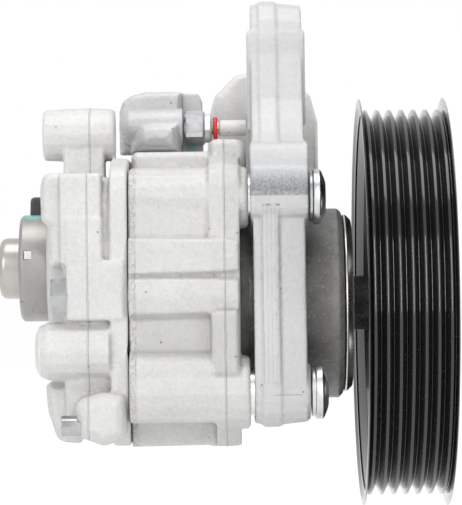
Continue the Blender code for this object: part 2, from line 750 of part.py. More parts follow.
def make_vanes():
    """Ten hardened blades, drawn in to the cam's small radius. Each has its origin at its own middle."""
    tip = CAM_MINOR_R - RUN
    root = tip - VANE_H
    half = VANE_T / 2
    crown = 0.0004
    middle = (tip + root) / 2
    for i in range(VANES):
        angle = vane_angle(i)
        side = [(half, root), (half, tip - crown), (half / 2, tip - crown / 4), (0.0, tip)]
        side += [(-x, y) for x, y in reversed(side[:-1])]
        turn = Matrix.Rotation(radians(angle - 90.0), 2)
        outline = [tuple(turn @ Vector((x, y - middle))) for x, y in side]
        vane = cast_x(f"vane_{i + 1}", outline, [(ROTOR_REAR_X, 0.0), (ROTOR_FRONT_X, 0.0)], BRIGHT_STEEL)
        y, z = polar(middle, angle)
        vane.location = (0.0, y, z)


def make_snap_ring():
    front = PLATE_REAR_X - GAP
    ring = washer("shaft_snap_ring", front - SNAP_RING_T, front, SHAFT_ROTOR_R + 0.0016, SHAFT_ROTOR_R + GAP,
                  DARK_STEEL)
    cut(ring, block("ring_gap", (front - 0.003, 0.004, -0.0015), (front + 0.003, 0.012, 0.0015), tool=True))
    return ring


def make_rear_bush():
    front = PLATE_REAR_X - GAP - SNAP_RING_T - GAP
    return washer("rear_bush", BUSH_REAR_X, front, BUSH_R, SHAFT_ROTOR_R + GAP, BRONZE)


# The two housing castings


def near_side():
    """The side of the housing that the photograph shows, from the top down, as corners (y, z, radius)."""
    face = -BODY_R
    return [
        (face + 0.0230, 0.0395, 0.0030),
        (face + 0.0020, 0.0392, 0.0062),
        (face + 0.0020, 0.0202, 0.0),
        (face - 0.0012, 0.0194, 0.0),
        (face - 0.0022, 0.0098, 0.0),
        (face - 0.0004, 0.0090, 0.0),
        (face - 0.0024, 0.0080, 0.0010),
        (face - 0.0036, 0.0030, 0.0060),
        (face - 0.0030, -0.0018, 0.0014),
        (face + 0.0004, -0.0034, 0.0),
        (face + 0.0006, -0.0124, 0.0),
        (face - 0.0048, -0.0150, 0.0040),
        (face - 0.0048, -0.0330, 0.0060),
        (face + 0.0085, -0.0345, 0.0030),
        (face + 0.0130, -0.0408, 0.0030),
    ]


def housing_outline():
    far = BODY_R
    corners = near_side() + [
        (far - 0.0130, -0.0408, 0.0080),
        (far + 0.0010, -0.0290, 0.0080),
        (far + 0.0020, 0.0200, 0.0100),
        (far - 0.0080, 0.0395, 0.0080),
    ]
    return filleted(corners)


def rim_outline(half, top, low):
    """The outline of a rim round the housing, from its half width and its heights."""
    return filleted([
        (-0.0190, top, 0.0040), (-half + 0.0014, top - 0.0040, 0.0070), (-half, 0.0090, 0.0100),
        (-half, low + 0.0085, 0.0060), (-0.0240, low, 0.0060), (0.0200, low, 0.0100),
        (half, low + 0.0115, 0.0080), (half, top - 0.0190, 0.0100), (0.0260, top, 0.0050),
    ])


def make_front_housing():
    body = cast_x("front_housing", housing_outline(),
                  [(JOINT_X, 0.0), (FRONT_FACE_X - BAND_W, 0.0005), (FRONT_FACE_X, 0.0012)], CAST_ALUMINIUM)
    band_back = FRONT_FACE_X - BAND_W
    seam = FRONT_FACE_X - BAND_W / 2
    band = rim_outline(BODY_R + 0.0003, BODY_R + 0.0055, -BODY_R - 0.0030)
    join(body, cast_x("flange_band", band, [
        (band_back, 0.0009), (seam - 0.0003, 0.0002), (seam, 0.0), (seam + 0.0003, 0.0002),
        (FRONT_FACE_X + 0.0003, 0.0010),
    ], tool=True))
    for i, angle in enumerate(BRACKET_BOLT_ANGLES):
        radius = 0.0105 if i == 1 else 0.0088
        back = JOINT_X + 0.0004 if i < 2 else BOLT_TIP_X - 0.0030
        profile = [(LUG_FACE_X, 0.0), (LUG_FACE_X, radius - 0.0008), (LUG_FACE_X - 0.0008, radius),
                   (back + 0.0006, radius), (back, radius - 0.0006), (back, 0.0)]
        join(body, turned("bolt_barrel", profile, centre=polar(BRACKET_BOLT_RING, angle),
                          segments=MIDDLE_TURN, tool=True))
    join(body, rod("cover_bolt_barrel", JOINT_X + 0.0004, COVER_THREAD_X + 0.0030, COVER_BOLT_R + 0.0045,
                   centre=polar(COVER_BOLT_RING, COVER_BOLT_ANGLES[2]), tool=True))
    join(body, block("top_block", (JOINT_X + 0.0004, -0.0150, 0.0350),
                     (band_back + 0.0020, 0.0270, BLOCK_TOP_Z),
                     bevel=0.0012, tool=True))
    lug = filleted([(band_back + 0.0002, 0.0360, 0.0), (band_back + 0.0002, 0.0484, 0.0020),
                    (LUG_FACE_X - 0.0004, 0.0484, 0.0030), (LUG_FACE_X - 0.0004, 0.0360, 0.0)])
    join(body, cast_y("top_lug", lug, [(-0.0170, 0.0012), (-0.0155, 0.0), (-0.0045, 0.0), (-0.0030, 0.0012)],
                      tool=True))
    near = -BODY_R - 0.0048
    join(body, block("side_lug", (band_back + 0.0004, near, -0.0195), (FRONT_FACE_X, near + 0.0140, -0.0010),
                     bevel=0.0010, tool=True))
    join(body, block("foot", (seam - 0.0036, -0.0210, -0.0430), (seam + 0.0036, 0.0060, -0.0380),
                     bevel=0.0012, tool=True))
    recess_top = polar(BRACKET_BOLT_RING, BRACKET_BOLT_ANGLES[1])[1] - 0.0082
    cut(body, block("lower_recess", (JOINT_X - 0.0030, near - 0.0050, -BODY_R - 0.0060),
                    (band_back + 0.0016, -0.0225, recess_top), bevel=0.0008, tool=True))
    neck_edge = 0.0012
    neck = [(NECK_FRONT_X, 0.0), (NECK_FRONT_X, NECK_R - neck_edge), (NECK_FRONT_X - neck_edge, NECK_R),
            (FRONT_FACE_X + 0.0030, NECK_R + 0.0003), (FRONT_FACE_X, NECK_R + 0.0022),
            (FRONT_FACE_X - 0.0020, NECK_R + 0.0022), (FRONT_FACE_X - 0.0020, 0.0)]
    join(body, turned("neck", neck, segments=LARGE_TURN, tool=True))
    groove_front = CIRCLIP_FRONT_X + GAP
    groove_rear = CIRCLIP_FRONT_X - CIRCLIP_T - GAP
    bore = [
        (NECK_FRONT_X + 0.0010, 0.0),
        (NECK_FRONT_X + 0.0010, BEARING_R + GAP), (groove_front, BEARING_R + GAP),
        (groove_front, BEARING_R + 0.0012), (groove_rear, BEARING_R + 0.0012), (groove_rear, BEARING_R + GAP),
        (BEARING_REAR_X - GAP, BEARING_R + GAP), (BEARING_REAR_X - GAP, SEAL_R + GAP),
        (SEAL_REAR_X - GAP, SEAL_R + GAP), (SEAL_REAR_X - GAP, SHAFT_R + 0.0012),
        (CAVITY_X, SHAFT_R + 0.0012), (CAVITY_X, CAVITY_R), (JOINT_X - 0.0010, CAVITY_R),
        (JOINT_X - 0.0010, 0.0),
    ]
    cut(body, turned("stepped_bore", bore, segments=LARGE_TURN, tool=True))
    for angle in BRACKET_BOLT_ANGLES:
        hole = [
            (LUG_FACE_X + 0.0010, 0.0), (LUG_FACE_X + 0.0010, SLEEVE_R + GAP),
            (LUG_FACE_X - SLEEVE_SEAT, SLEEVE_R + GAP), (LUG_FACE_X - SLEEVE_SEAT, BRACKET_BOLT_R + GAP),
            (BOLT_TIP_X - GAP, BRACKET_BOLT_R + GAP), (BOLT_TIP_X - 0.0020, 0.0),
        ]
        cut(body, turned("bolt_hole", hole, centre=polar(BRACKET_BOLT_RING, angle), segments=SMALL_TURN,
                         tool=True))
    for angle in COVER_BOLT_ANGLES:
        hole = [(COVER_THREAD_X + 0.0015, 0.0), (COVER_THREAD_X, COVER_BOLT_R + GAP),
                (JOINT_X - 0.0010, COVER_BOLT_R + GAP), (JOINT_X - 0.0010, 0.0)]
        cut(body, turned("cover_bolt_hole", hole, centre=polar(COVER_BOLT_RING, angle), segments=HOLE_TURN,
                         tool=True))
    pocket = rod("spring_pocket", JOINT_X - 0.0010, JOINT_X + SPRING_POCKET_L, SPRING_R + SPRING_WIRE_R + GAP,
                 centre=polar(SPOOL_RING, SPOOL_ANGLE), tool=True)
    cut(body, pocket)
    port_x = (ELBOW_LEFT_X + ELBOW_RIGHT_X) / 2
    cut(body, drum("inlet_port", (port_x, PORT_Y, 0.0340), PORT_R, 0.0240, "Z", tool=True))
    return body


def cover_outline(grow=0.0):
    face = -BODY_R - grow
    far = BODY_R + grow
    return filleted([
        (face + 0.0150, 0.0388 + grow, 0.0060),
        (face + 0.0012, 0.0330, 0.0060),
        (face - 0.0004, 0.0126, 0.0),
        (face + 0.0008, 0.0110, 0.0),
        (face + 0.0008, -0.0200, 0.0030),
        (face + 0.0035, -0.0245, 0.0),
        (face + 0.0060, -0.0390 - grow, 0.0060),
        (far - 0.0100, -0.0390 - grow, 0.0120),
        (far + 0.0005, -0.0200, 0.0100),
        (far + 0.0005, 0.0220, 0.0120),
        (far - 0.0140, 0.0388 + grow, 0.0100),
    ])


def make_rear_cover():
    front, back, face = COVER_FRONT_X, COVER_BACK_X, -BODY_R
    cover = cast_x("rear_cover", cover_outline(-0.0010), [
        (back, 0.0022), (back + 0.0012, 0.0010), (back + 0.0055, 0.0),
        (front - COVER_FLANGE_T + 0.0010, 0.0004),
    ], CAST_ALUMINIUM)
    flange_back = front - COVER_FLANGE_T
    join(cover, cast_x("flange", rim_outline(BODY_R + 0.0002, BODY_R + 0.0045, -BODY_R - 0.0017), [
        (flange_back, 0.0006), (flange_back + 0.0006, 0.0), (front, 0.0),
    ], tool=True))
    add_can_seat(cover)
    add_rear_boss(cover)
    add_valve_boss(cover)
    join(cover, block("upper_pad", (back + 0.0007, face - 0.0012, 0.0128),
                      (front - 0.0069, face + 0.0080, 0.0262),
                      bevel=0.0008, tool=True))
    join(cover, block("middle_pad", (back + 0.0010, face - 0.0010, -0.0036),
                      (front - 0.0009, face + 0.0080, 0.0136),
                      bevel=0.0006, tool=True))
    join(cover, block("boss_slab", (back - 0.0007, face - 0.0004, 0.0126),
                      (front - 0.0072, face + 0.0120, REAR_BOSS_Z - 0.0120),
                      bevel=0.0006, tool=True))
    add_channel_boss(cover)
    bolt_z = polar(COVER_BOLT_RING, COVER_BOLT_ANGLES[0])[1]
    low, high, deep = bolt_z - 0.0068, bolt_z + 0.0068, 0.0078 - COVER_BOLT_RING
    head_room = filleted([(face - 0.0050, low, 0.0), (face - 0.0050, high, 0.0), (deep, high, 0.0030),
                          (deep, low, 0.0030)])
    cut(cover, cast_x("bolt_notch", head_room, [(SHOULDER_X - 0.0036, 0.0), (back, 0.0)], tool=True))
    recess = [
        (front + 0.0010, 0.0), (front + 0.0010, CAVITY_R), (RECESS_X, CAVITY_R),
        (RECESS_X, BUSH_R + GAP), (SHAFT_REAR_X - GAP, BUSH_R + GAP), (SHAFT_REAR_X - GAP, 0.0),
    ]
    cut(cover, turned("bush_recess", recess, segments=LARGE_TURN, tool=True))
    floor = CAN_FRONT_X + GAP
    pin_hole = PIN_R + 0.0006
    pocket = [
        (RECESS_X + 0.0004, 0.0), (RECESS_X + 0.0004, pin_hole), (floor, pin_hole), (floor, CAN_R + GAP),
        (SHOULDER_X - 0.0020, CAN_R + GAP), (SHOULDER_X - 0.0020, 0.0),
    ]
    cut(cover, turned("can_pocket", pocket, centre=(0.0, CAN_Z), segments=LARGE_TURN, tool=True))
    head_hole = COVER_HEAD_R + HEAD_ROOM
    for angle in COVER_BOLT_ANGLES:
        hole = [
            (front + 0.0010, 0.0), (front + 0.0010, COVER_BOLT_R + GAP), (back, COVER_BOLT_R + GAP),
            (back, head_hole), (SHOULDER_X - 0.0030, head_hole), (SHOULDER_X - 0.0030, 0.0),
        ]
        cut(cover, turned("cover_bolt_hole", hole, centre=polar(COVER_BOLT_RING, angle), segments=SMALL_TURN,
                          tool=True))
    cut(cover, rod("spool_bore", front - SPOOL_BORE_L, front + 0.0010, SPOOL_R + RUN,
                   centre=polar(SPOOL_RING, SPOOL_ANGLE), segments=MIDDLE_TURN, tool=True))
    cut(cover, rod("plug_bore", CHANNEL_BACK_X - 0.0030, CHANNEL_BACK_X + 0.0064, PLUG_R + GAP,
                   centre=(PLUG_Y, PLUG_Z), segments=SMALL_TURN, tool=True))
    low, high = CONNECTOR_LOW, CONNECTOR_HIGH
    room = 2 * GAP
    cut(cover, block("connector_notch", (low[0] - 0.0030, low[1] - room, low[2] - room),
                     (high[0] + room, high[1] + 0.0200, high[2] + room), tool=True))
    return cover


def add_can_seat(cover):
    """The collar round the solenoid can, the shoulder over it and the step under it."""
    back = COVER_BACK_X
    collar = [(back + 0.0020, 0.0), (back + 0.0020, CAN_R + 0.0040), (COLLAR_X + 0.0012, CAN_R + 0.0036),
              (COLLAR_X, CAN_R + 0.0026), (COLLAR_X, 0.0)]
    join(cover, turned("can_collar", collar, centre=(0.0, CAN_Z), segments=LARGE_TURN, tool=True))
    shoulder = filleted([
        (back + 0.0030, 0.0385, 0.0), (SHOULDER_X + 0.0008, 0.0388, 0.0026), (SHOULDER_X, 0.0340, 0.0030),
        (SHOULDER_X + 0.0002, 0.0240, 0.0020), (back - 0.0045, 0.0238, 0.0), (back - 0.0041, 0.0118, 0.0010),
        (back + 0.0030, 0.0118, 0.0),
    ])
    near = -BODY_R + 0.0035
    join(cover, cast_y("shoulder", shoulder,
                       [(near, 0.0014), (near + 0.0015, 0.0), (0.0020, 0.0), (0.0040, 0.0010)],
                       tool=True))
    step = filleted([(back + 0.0040, -0.0215, 0.0), (back - 0.0060, -0.0215, 0.0015),
                     (back - 0.0053, -0.0300, 0.0040),
                     (back - 0.0025, -0.0386, 0.0030), (back + 0.0040, -0.0392, 0.0)])
    join(cover, cast_y("lower_back", step,
                       [(-0.0280, 0.0020), (-0.0255, 0.0), (0.0200, 0.0), (0.0230, 0.0020)], tool=True))


def add_rear_boss(cover):
    """The boss for the rear stay's bolt, on a web above the cover."""
    front, back = COVER_FRONT_X, COVER_BACK_X - REAR_BOSS_REACH
    centre = (REAR_BOSS_Y, REAR_BOSS_Z)
    boss = [
        (front - 0.0041, 0.0), (front - 0.0041, REAR_BOSS_R - 0.0009), (front - 0.0053, REAR_BOSS_R - 0.0003),
        (COVER_BACK_X + 0.0059, REAR_BOSS_R), (back + 0.0007, REAR_BOSS_R - 0.0005),
        (back, REAR_BOSS_R - 0.0012),
        (back, 0.0),
    ]
    join(cover, turned("rear_boss", boss, centre=centre, tool=True))
    web_back, web_front = COVER_BACK_X - 0.0007, front - 0.0072
    web = [(web_back, 0.0330), (web_back, REAR_BOSS_Z), (web_front, REAR_BOSS_Z), (web_front, 0.0330)]
    half = REAR_BOSS_R - 0.0012
    join(cover, cast_y("boss_web", web, [
        (REAR_BOSS_Y - half, 0.0006), (REAR_BOSS_Y - half + 0.0006, 0.0), (REAR_BOSS_Y + half - 0.0006, 0.0),
        (REAR_BOSS_Y + half, 0.0006),
    ], tool=True))
    cut(cover, rod("boss_hole", back - 0.0070, front, REAR_BOSS_HOLE_R, centre=centre, tool=True))


def add_valve_boss(cover):
    """The round-ended boss that the flow spool runs in."""
    back = COVER_BACK_X - 0.0083
    outer = SPOOL_R + 0.0034
    boss = [(COVER_FRONT_X - 0.0052, 0.0), (COVER_FRONT_X - 0.0052, outer), (back + 0.0038, outer),
            (back + 0.0012, outer - 0.0012), (back + 0.0002, SPOOL_R), (back, 0.0)]
    join(cover, turned("valve_boss", boss, centre=polar(SPOOL_RING, SPOOL_ANGLE), tool=True))


def add_channel_boss(cover):
    """The faceted boss over the plugged oil channel."""
    front, face = COVER_FRONT_X, -BODY_R
    sides = filleted([
        (front - 0.0075, -0.0238, 0.0030), (front - 0.0007, -0.0250, 0.0020),
        (front - 0.0005, -0.0368, 0.0030),
        (front - 0.0071, -0.0392, 0.0030), (front - 0.0137, -0.0366, 0.0030),
        (front - 0.0155, -0.0262, 0.0030),
    ], 45.0)
    join(cover, cast_y("channel_boss", sides, [
        (face - 0.0046, 0.0030), (face - 0.0036, 0.0014), (face - 0.0020, 0.0), (face + 0.0140, 0.0),
    ], tool=True))


# Fasteners


def make_cover_bolts():
    for i, angle in enumerate(COVER_BOLT_ANGLES):
        centre = polar(COVER_BOLT_RING, angle)
        seat = COVER_BACK_X - GAP
        tip = COVER_THREAD_X - 0.0006
        shank = [(tip, 0.0), (tip, COVER_BOLT_R - 0.0005), (tip - 0.0005, COVER_BOLT_R),
                 (seat - 0.0005, COVER_BOLT_R),
                 (seat - 0.0005, 0.0)]
        bolt = turned(f"cover_bolt_{i + 1}", shank, ZINC_PLATE, centre=centre, segments=HOLE_TURN)
        head = [(y + centre[0], z + centre[1]) for y, z in hexagon(COVER_HEAD_R, 0.0)]
        join(bolt, cast_x("hex_head", head,
                          [(seat - COVER_HEAD_T, 0.0006), (seat - COVER_HEAD_T + 0.0005, 0.0),
                                             (seat, 0.0)], tool=True))


def make_bracket_bolts():
    """Flanged bolts with a low domed head and a hexagon socket."""
    for i, angle in enumerate(BRACKET_BOLT_ANGLES):
        centre = polar(BRACKET_BOLT_RING, angle)
        seat = BOLT_SEAT_X + GAP
        top = seat + BOLT_HEAD_T
        rim = seat + BOLT_FLANGE_T
        dome = top - 0.0017
        profile = [
            (top, 0.0), (top, BOLT_HEAD_R * 0.52), (top - 0.0005, BOLT_HEAD_R * 0.72),
            (dome + 0.0005, BOLT_HEAD_R * 0.93),
            (dome, BOLT_HEAD_R), (rim, BOLT_HEAD_R), (rim, BOLT_HEAD_R - 0.0007),
            (seat, BOLT_HEAD_R - 0.0007),
            (seat, BRACKET_BOLT_R), (BOLT_TIP_X + 0.0008, BRACKET_BOLT_R),
            (BOLT_TIP_X, BRACKET_BOLT_R - 0.0008),
            (BOLT_TIP_X, 0.0),
        ]
        bolt = turned(f"bracket_bolt_{i + 1}", profile, ZINC_PLATE, centre=centre, segments=SMALL_TURN)
        socket = [(y + centre[0], z + centre[1]) for y, z in hexagon(0.0034, 15.0)]
        cut(bolt, cast_x("hex_socket", socket, [(top - 0.0036, 0.0), (top + 0.0010, 0.0)], tool=True))


def make_sleeves():
    rear = LUG_FACE_X - SLEEVE_SEAT + GAP
    front = BRACKET_BACK_X + SLEEVE_SEAT - GAP
    for i, angle in enumerate(BRACKET_BOLT_ANGLES):
        washer(f"locating_sleeve_{i + 1}", rear, front, SLEEVE_R, BRACKET_BOLT_R + GAP, BRIGHT_STEEL,
               centre=polar(BRACKET_BOLT_RING, angle), segments=SMALL_TURN)


# The mounting bracket


def bracket_outline():
    upper = polar(BRACKET_BOLT_RING, BRACKET_BOLT_ANGLES[0])
    lower = polar(BRACKET_BOLT_RING, BRACKET_BOLT_ANGLES[1])
    far = polar(BRACKET_BOLT_RING, BRACKET_BOLT_ANGLES[2])
    lobe = SLEEVE_R + 0.0028
    left = TOP_BOSS_Y - TOP_BOSS_R
    right = TOP_BOSS_Y + TOP_BOSS_R
    top = TOP_BOSS_Z + TOP_BOSS_R
    return filleted([
        (left, top, TOP_BOSS_R - 0.0002),
        (left - 0.0015, TOP_BOSS_Z - 0.0186, 0.0300),
        (upper[0] - lobe - 0.0015, upper[1] + 0.0130, 0.0080),
        (upper[0] - lobe, 0.0080, 0.0250),
        (lower[0] - lobe, -0.0080, 0.0250),
        (lower[0] - lobe, lower[1] - lobe, 0.0080),
        (-0.0180, -NECK_R - 0.0072, 0.0200),
        (0.0180, -NECK_R - 0.0072, 0.0200),
        (far[0] + 0.0010, far[1] - 0.0160, 0.0090),
        (far[0] + lobe, far[1] - 0.0040, 0.0080),
        (far[0] + lobe - 0.0020, PAD_LOW_HOLE_Z - 0.0080, 0.0100),
        (PAD_Y + 0.0040, PAD_LOW_HOLE_Z, 0.0100),
        (PAD_Y + 0.0040, PAD_TOP_HOLE_Z + 0.0088, 0.0060),
        (right + 0.0080, PAD_TOP_HOLE_Z + 0.0088, 0.0140),
        (right, top, TOP_BOSS_R - 0.0002),
    ], 30.0)


def make_bracket():
    back, front = BRACKET_BACK_X, BRACKET_FRONT_X
    strip_back = back + 0.0026
    strip_front = back + 0.0072
    outline = bracket_outline()
    bracket = cast_x("mounting_bracket", outline, [
        (back, 0.0012), (strip_back - 0.0003, 0.0006), (strip_back, 0.0), (strip_front, 0.0),
        (strip_front + 0.0003, 0.0006), (front, 0.0014),
    ], CAST_ALUMINIUM)
    upper = polar(BRACKET_BOLT_RING, BRACKET_BOLT_ANGLES[0])
    boss = filleted([
        (upper[0] - 0.0105, upper[1] + 0.0155, 0.0040), (upper[0] - 0.0118, upper[1] + 0.0050, 0.0030),
        (upper[0] - 0.0110, upper[1] - 0.0055, 0.0030), (upper[0] + 0.0040, upper[1] - 0.0090, 0.0020),
        (upper[0] + 0.0120, upper[1] + 0.0100, 0.0050), (upper[0] + 0.0080, upper[1] + 0.0155, 0.0050),
    ], 30.0)
    join(bracket, cast_x("upper_bolt_boss", boss,
                         [(back - 0.0007, 0.0004), (back - 0.0003, 0.0), (front + 0.0007, 0.0),
                                                   (BOLT_SEAT_X, 0.0004)], tool=True))
    join(bracket, rod("machined_band", back - 0.0005, front + 0.0009, 0.0060,
                      centre=(upper[0] - 0.0068, upper[1] + 0.0052), segments=MIDDLE_TURN, tool=True))
    for i in (1, 2):
        centre = polar(BRACKET_BOLT_RING, BRACKET_BOLT_ANGLES[i])
        profile = [(BOLT_SEAT_X, 0.0), (BOLT_SEAT_X, SLEEVE_R + 0.0010), (front - 0.0004, SLEEVE_R + 0.0016),
                   (back + 0.0010, SLEEVE_R + 0.0016), (back + 0.0010, 0.0)]
        join(bracket, turned("bolt_boss", profile, centre=centre, segments=MIDDLE_TURN, tool=True))
    collar_top, collar_low = TOP_BOSS_Z + 0.0046, upper[1] + 0.0184
    collar = filleted([
        (TOP_BOSS_Y - TOP_BOSS_R - 0.0003, collar_top, 0.0020),
        (TOP_BOSS_Y - TOP_BOSS_R - 0.0007, collar_low, 0.0),
        (TOP_BOSS_Y + 0.0074, collar_low, 0.0), (TOP_BOSS_Y + TOP_BOSS_R + 0.0003, collar_top, 0.0020),
    ])
    join(bracket, cast_x("top_collar", collar, [
        (back - 0.0011, 0.0014), (strip_back, 0.0006), (strip_front, 0.0006), (front + 0.0009, 0.0016),
    ], tool=True))
    pad_low = PAD_LOW_HOLE_Z - 0.0090
    pad = filleted([
        (PAD_X - PAD_R, PAD_TOP_HOLE_Z + PAD_R, PAD_R - 0.0002), (PAD_X - PAD_R, 0.0430, 0.0060),
        (back - 0.0024, 0.0365, 0.0040), (back - 0.0024, pad_low, 0.0040), (PAD_X + PAD_R, pad_low, 0.0060),
        (PAD_X + PAD_R, PAD_TOP_HOLE_Z + PAD_R, PAD_R - 0.0002),
    ], 30.0)
    join(bracket, cast_y("engine_pad", pad,
                         [(PAD_Y, 0.0012), (PAD_FACE_Y - 0.0012, 0.0), (PAD_FACE_Y, 0.0008)],
                         tool=True))
    hole_top = (TOP_BOSS_Y, TOP_BOSS_Z)
    cut(bracket, rod("top_hole", back - 0.0100, front + 0.0100, ENGINE_HOLE_R, centre=hole_top, tool=True))
    for z in (PAD_TOP_HOLE_Z, PAD_LOW_HOLE_Z):
        cut(bracket, drum("pad_hole", (PAD_X, (PAD_Y + PAD_FACE_Y) / 2, z), ENGINE_HOLE_R, PAD_T + 0.0100,
                          "Y", tool=True))
    neck_bore = [(front + 0.0060, 0.0), (front + 0.0060, NECK_R + GAP),
                 (FRONT_FACE_X + 0.0033, NECK_R + 3 * GAP),
                 (FRONT_FACE_X - 0.0060, NECK_R + 3 * GAP + 0.0045), (FRONT_FACE_X - 0.0060, 0.0)]
    cut(bracket, turned("neck_bore", neck_bore, segments=LARGE_TURN, tool=True))
    for angle in BRACKET_BOLT_ANGLES:
        hole = [
            (BOLT_SEAT_X + 0.0040, 0.0), (BOLT_SEAT_X + 0.0040, BRACKET_BOLT_R + GAP),
            (back + SLEEVE_SEAT, BRACKET_BOLT_R + GAP), (back + SLEEVE_SEAT, SLEEVE_R + GAP),
            (back - 0.0040, SLEEVE_R + GAP), (back - 0.0040, 0.0),
        ]
        cut(bracket, turned("bolt_hole", hole, centre=polar(BRACKET_BOLT_RING, angle), segments=MIDDLE_TURN,
                            tool=True))
    near_top = TOP_BOSS_Z - 0.0176
    pocket = filleted([(TOP_BOSS_Y + 0.0145, near_top, 0.0025), (TOP_BOSS_Y - 0.0080, near_top, 0.0025),
                       (upper[0] + 0.0065, upper[1] + 0.0114, 0.0030),
                       (TOP_BOSS_Y + 0.0100, NECK_R + 0.0065, 0.0030)])
    far_top = PAD_TOP_HOLE_Z + 0.0028
    far_side = PAD_Y - 0.0020
    far_pocket = filleted([
        (TOP_BOSS_Y + 0.0200, far_top, 0.0025), (far_side, far_top, 0.0030),
        (far_side, PAD_LOW_HOLE_Z, 0.0030),
        (far_side - 0.0040, PAD_LOW_HOLE_Z - 0.0040, 0.0020), (TOP_BOSS_Y + 0.0150, NECK_R + 0.0050, 0.0030),
    ])
    for shape in (pocket, far_pocket):
        cut(bracket, cast_x("lightening_pocket", shape, [(front - 0.0080, 0.0010), (front + 0.0030, 0.0)],
                            tool=True))
    return bracket


# The flow valve and the solenoid


def make_flow_valve():
    centre = polar(SPOOL_RING, SPOOL_ANGLE)
    rear = COVER_FRONT_X - SPOOL_BORE_L + 0.0008
    front = rear + SPOOL_L
    waist = SPOOL_R - 0.0014
    land = SPOOL_L * 0.28
    spool = [
        (front, SPOOL_R - 0.0004), (front - 0.0004, SPOOL_R), (front - land, SPOOL_R), (front - land, waist),
        (rear + land, waist), (rear + land, SPOOL_R), (rear + 0.0004, SPOOL_R), (rear, SPOOL_R - 0.0004),
        (rear, 0.0),
    ]
    turned("flow_spool", [(front, 0.0), *spool], BRIGHT_STEEL, centre=centre, segments=MIDDLE_TURN)
    helix("flow_spring", front + 2 * RUN, JOINT_X + SPRING_POCKET_L - GAP, centre, SPRING_R, SPRING_WIRE_R,
          6, BRIGHT_STEEL)
    rod("channel_plug", CHANNEL_BACK_X - PLUG_L + 0.0060, CHANNEL_BACK_X + 0.0060, PLUG_R, ZINC_PLATE,
        centre=(PLUG_Y, PLUG_Z))


def make_solenoid():
    centre = (0.0, CAN_Z)
    edge = 0.0009
    inner = CAN_R - CAN_WALL
    can = [
        (CAN_FRONT_X, CAN_R), (CAN_BACK_X + edge, CAN_R), (CAN_BACK_X, CAN_R - edge),
        (CAN_BACK_X, CORE_R + GAP), (CAN_BACK_X + CAN_WALL, CORE_R + GAP), (CAN_BACK_X + CAN_WALL, inner),
        (CAN_FRONT_X, inner),
    ]
    turned("solenoid_can", can, CAN_STEEL, centre=centre, segments=LARGE_TURN)
    coil_rear = CAN_BACK_X + CAN_WALL + GAP
    coil_front = CAN_FRONT_X - COIL_ROOM
    cheek = 0.0012
    waist = COIL_R - 0.0010
    coil = [
        (coil_front, COIL_R), (coil_front - cheek, COIL_R), (coil_front - cheek, waist),
        (coil_rear + cheek, waist),
        (coil_rear + cheek, COIL_R), (coil_rear, COIL_R), (coil_rear, CORE_R + GAP),
        (coil_front, CORE_R + GAP),
    ]
    turned("solenoid_coil", coil, COPPER_WIRE, centre=centre, segments=MIDDLE_TURN)
    nose = 0.0022
    end_wall = CORE_END_WALL
    core = [
        (CAN_FRONT_X - COIL_ROOM, CORE_R),
        *[(CORE_BACK_X + nose - nose * sin(radians(a)), CORE_R - nose + nose * cos(radians(a))) for a in (0,
                                                                                                          30,
                                                                                                          60,
                                                                                                          90)],
        (CORE_BACK_X, 0.0040), (CORE_BACK_X + 0.0006, 0.0034), (CORE_BACK_X + 0.0006, 0.0),
        (CORE_BACK_X + end_wall, 0.0), (CORE_BACK_X + end_wall, CORE_BORE_R),
        (CAN_FRONT_X - COIL_ROOM, CORE_BORE_R),
    ]
    turned("solenoid_core_tube", core, CAN_STEEL, centre=centre)
    front = ARMATURE_BACK_X + ARMATURE_L
    radius = CORE_BORE_R - RUN
    armature = [
        (front + PIN_L, 0.0), (front + PIN_L, PIN_R), (front, PIN_R), (front, radius),
        (ARMATURE_BACK_X, radius),
        (ARMATURE_BACK_X, 0.0),
    ]
    turned("solenoid_armature", armature, DARK_STEEL, centre=centre, segments=MIDDLE_TURN)
    helix("solenoid_spring", CORE_BACK_X + end_wall + GAP, ARMATURE_BACK_X - 2 * RUN, centre, 0.0040,
          0.00045, 4,
          BRIGHT_STEEL)
    low, high = CONNECTOR_LOW, CONNECTOR_HIGH
    body = filleted([(low[0], low[2], 0.0), (low[0] + 0.0004, high[2], 0.0012),
                     (high[0] - 0.0004, high[2], 0.0012),
                     (high[0], low[2], 0.0)], 45.0)
    connector = cast_y("solenoid_connector", body, [(low[1], 0.0006), (low[1] + 0.0006, 0.0), (high[1], 0.0)],
                       BLACK_PLASTIC)
    wall = SOCKET_WALL
    cut(connector, rod("can_seat", CAN_BACK_X - 0.010, CAN_FRONT_X + 0.010, CAN_R + GAP, centre=centre,
                       segments=LARGE_TURN,
                       tool=True))
    cut(connector, block("socket", (low[0] + wall, high[1] - SOCKET_DEPTH, low[2] + wall),
                         (high[0] - wall, high[1] + 0.0050, high[2] - wall), tool=True))


# The fittings on top


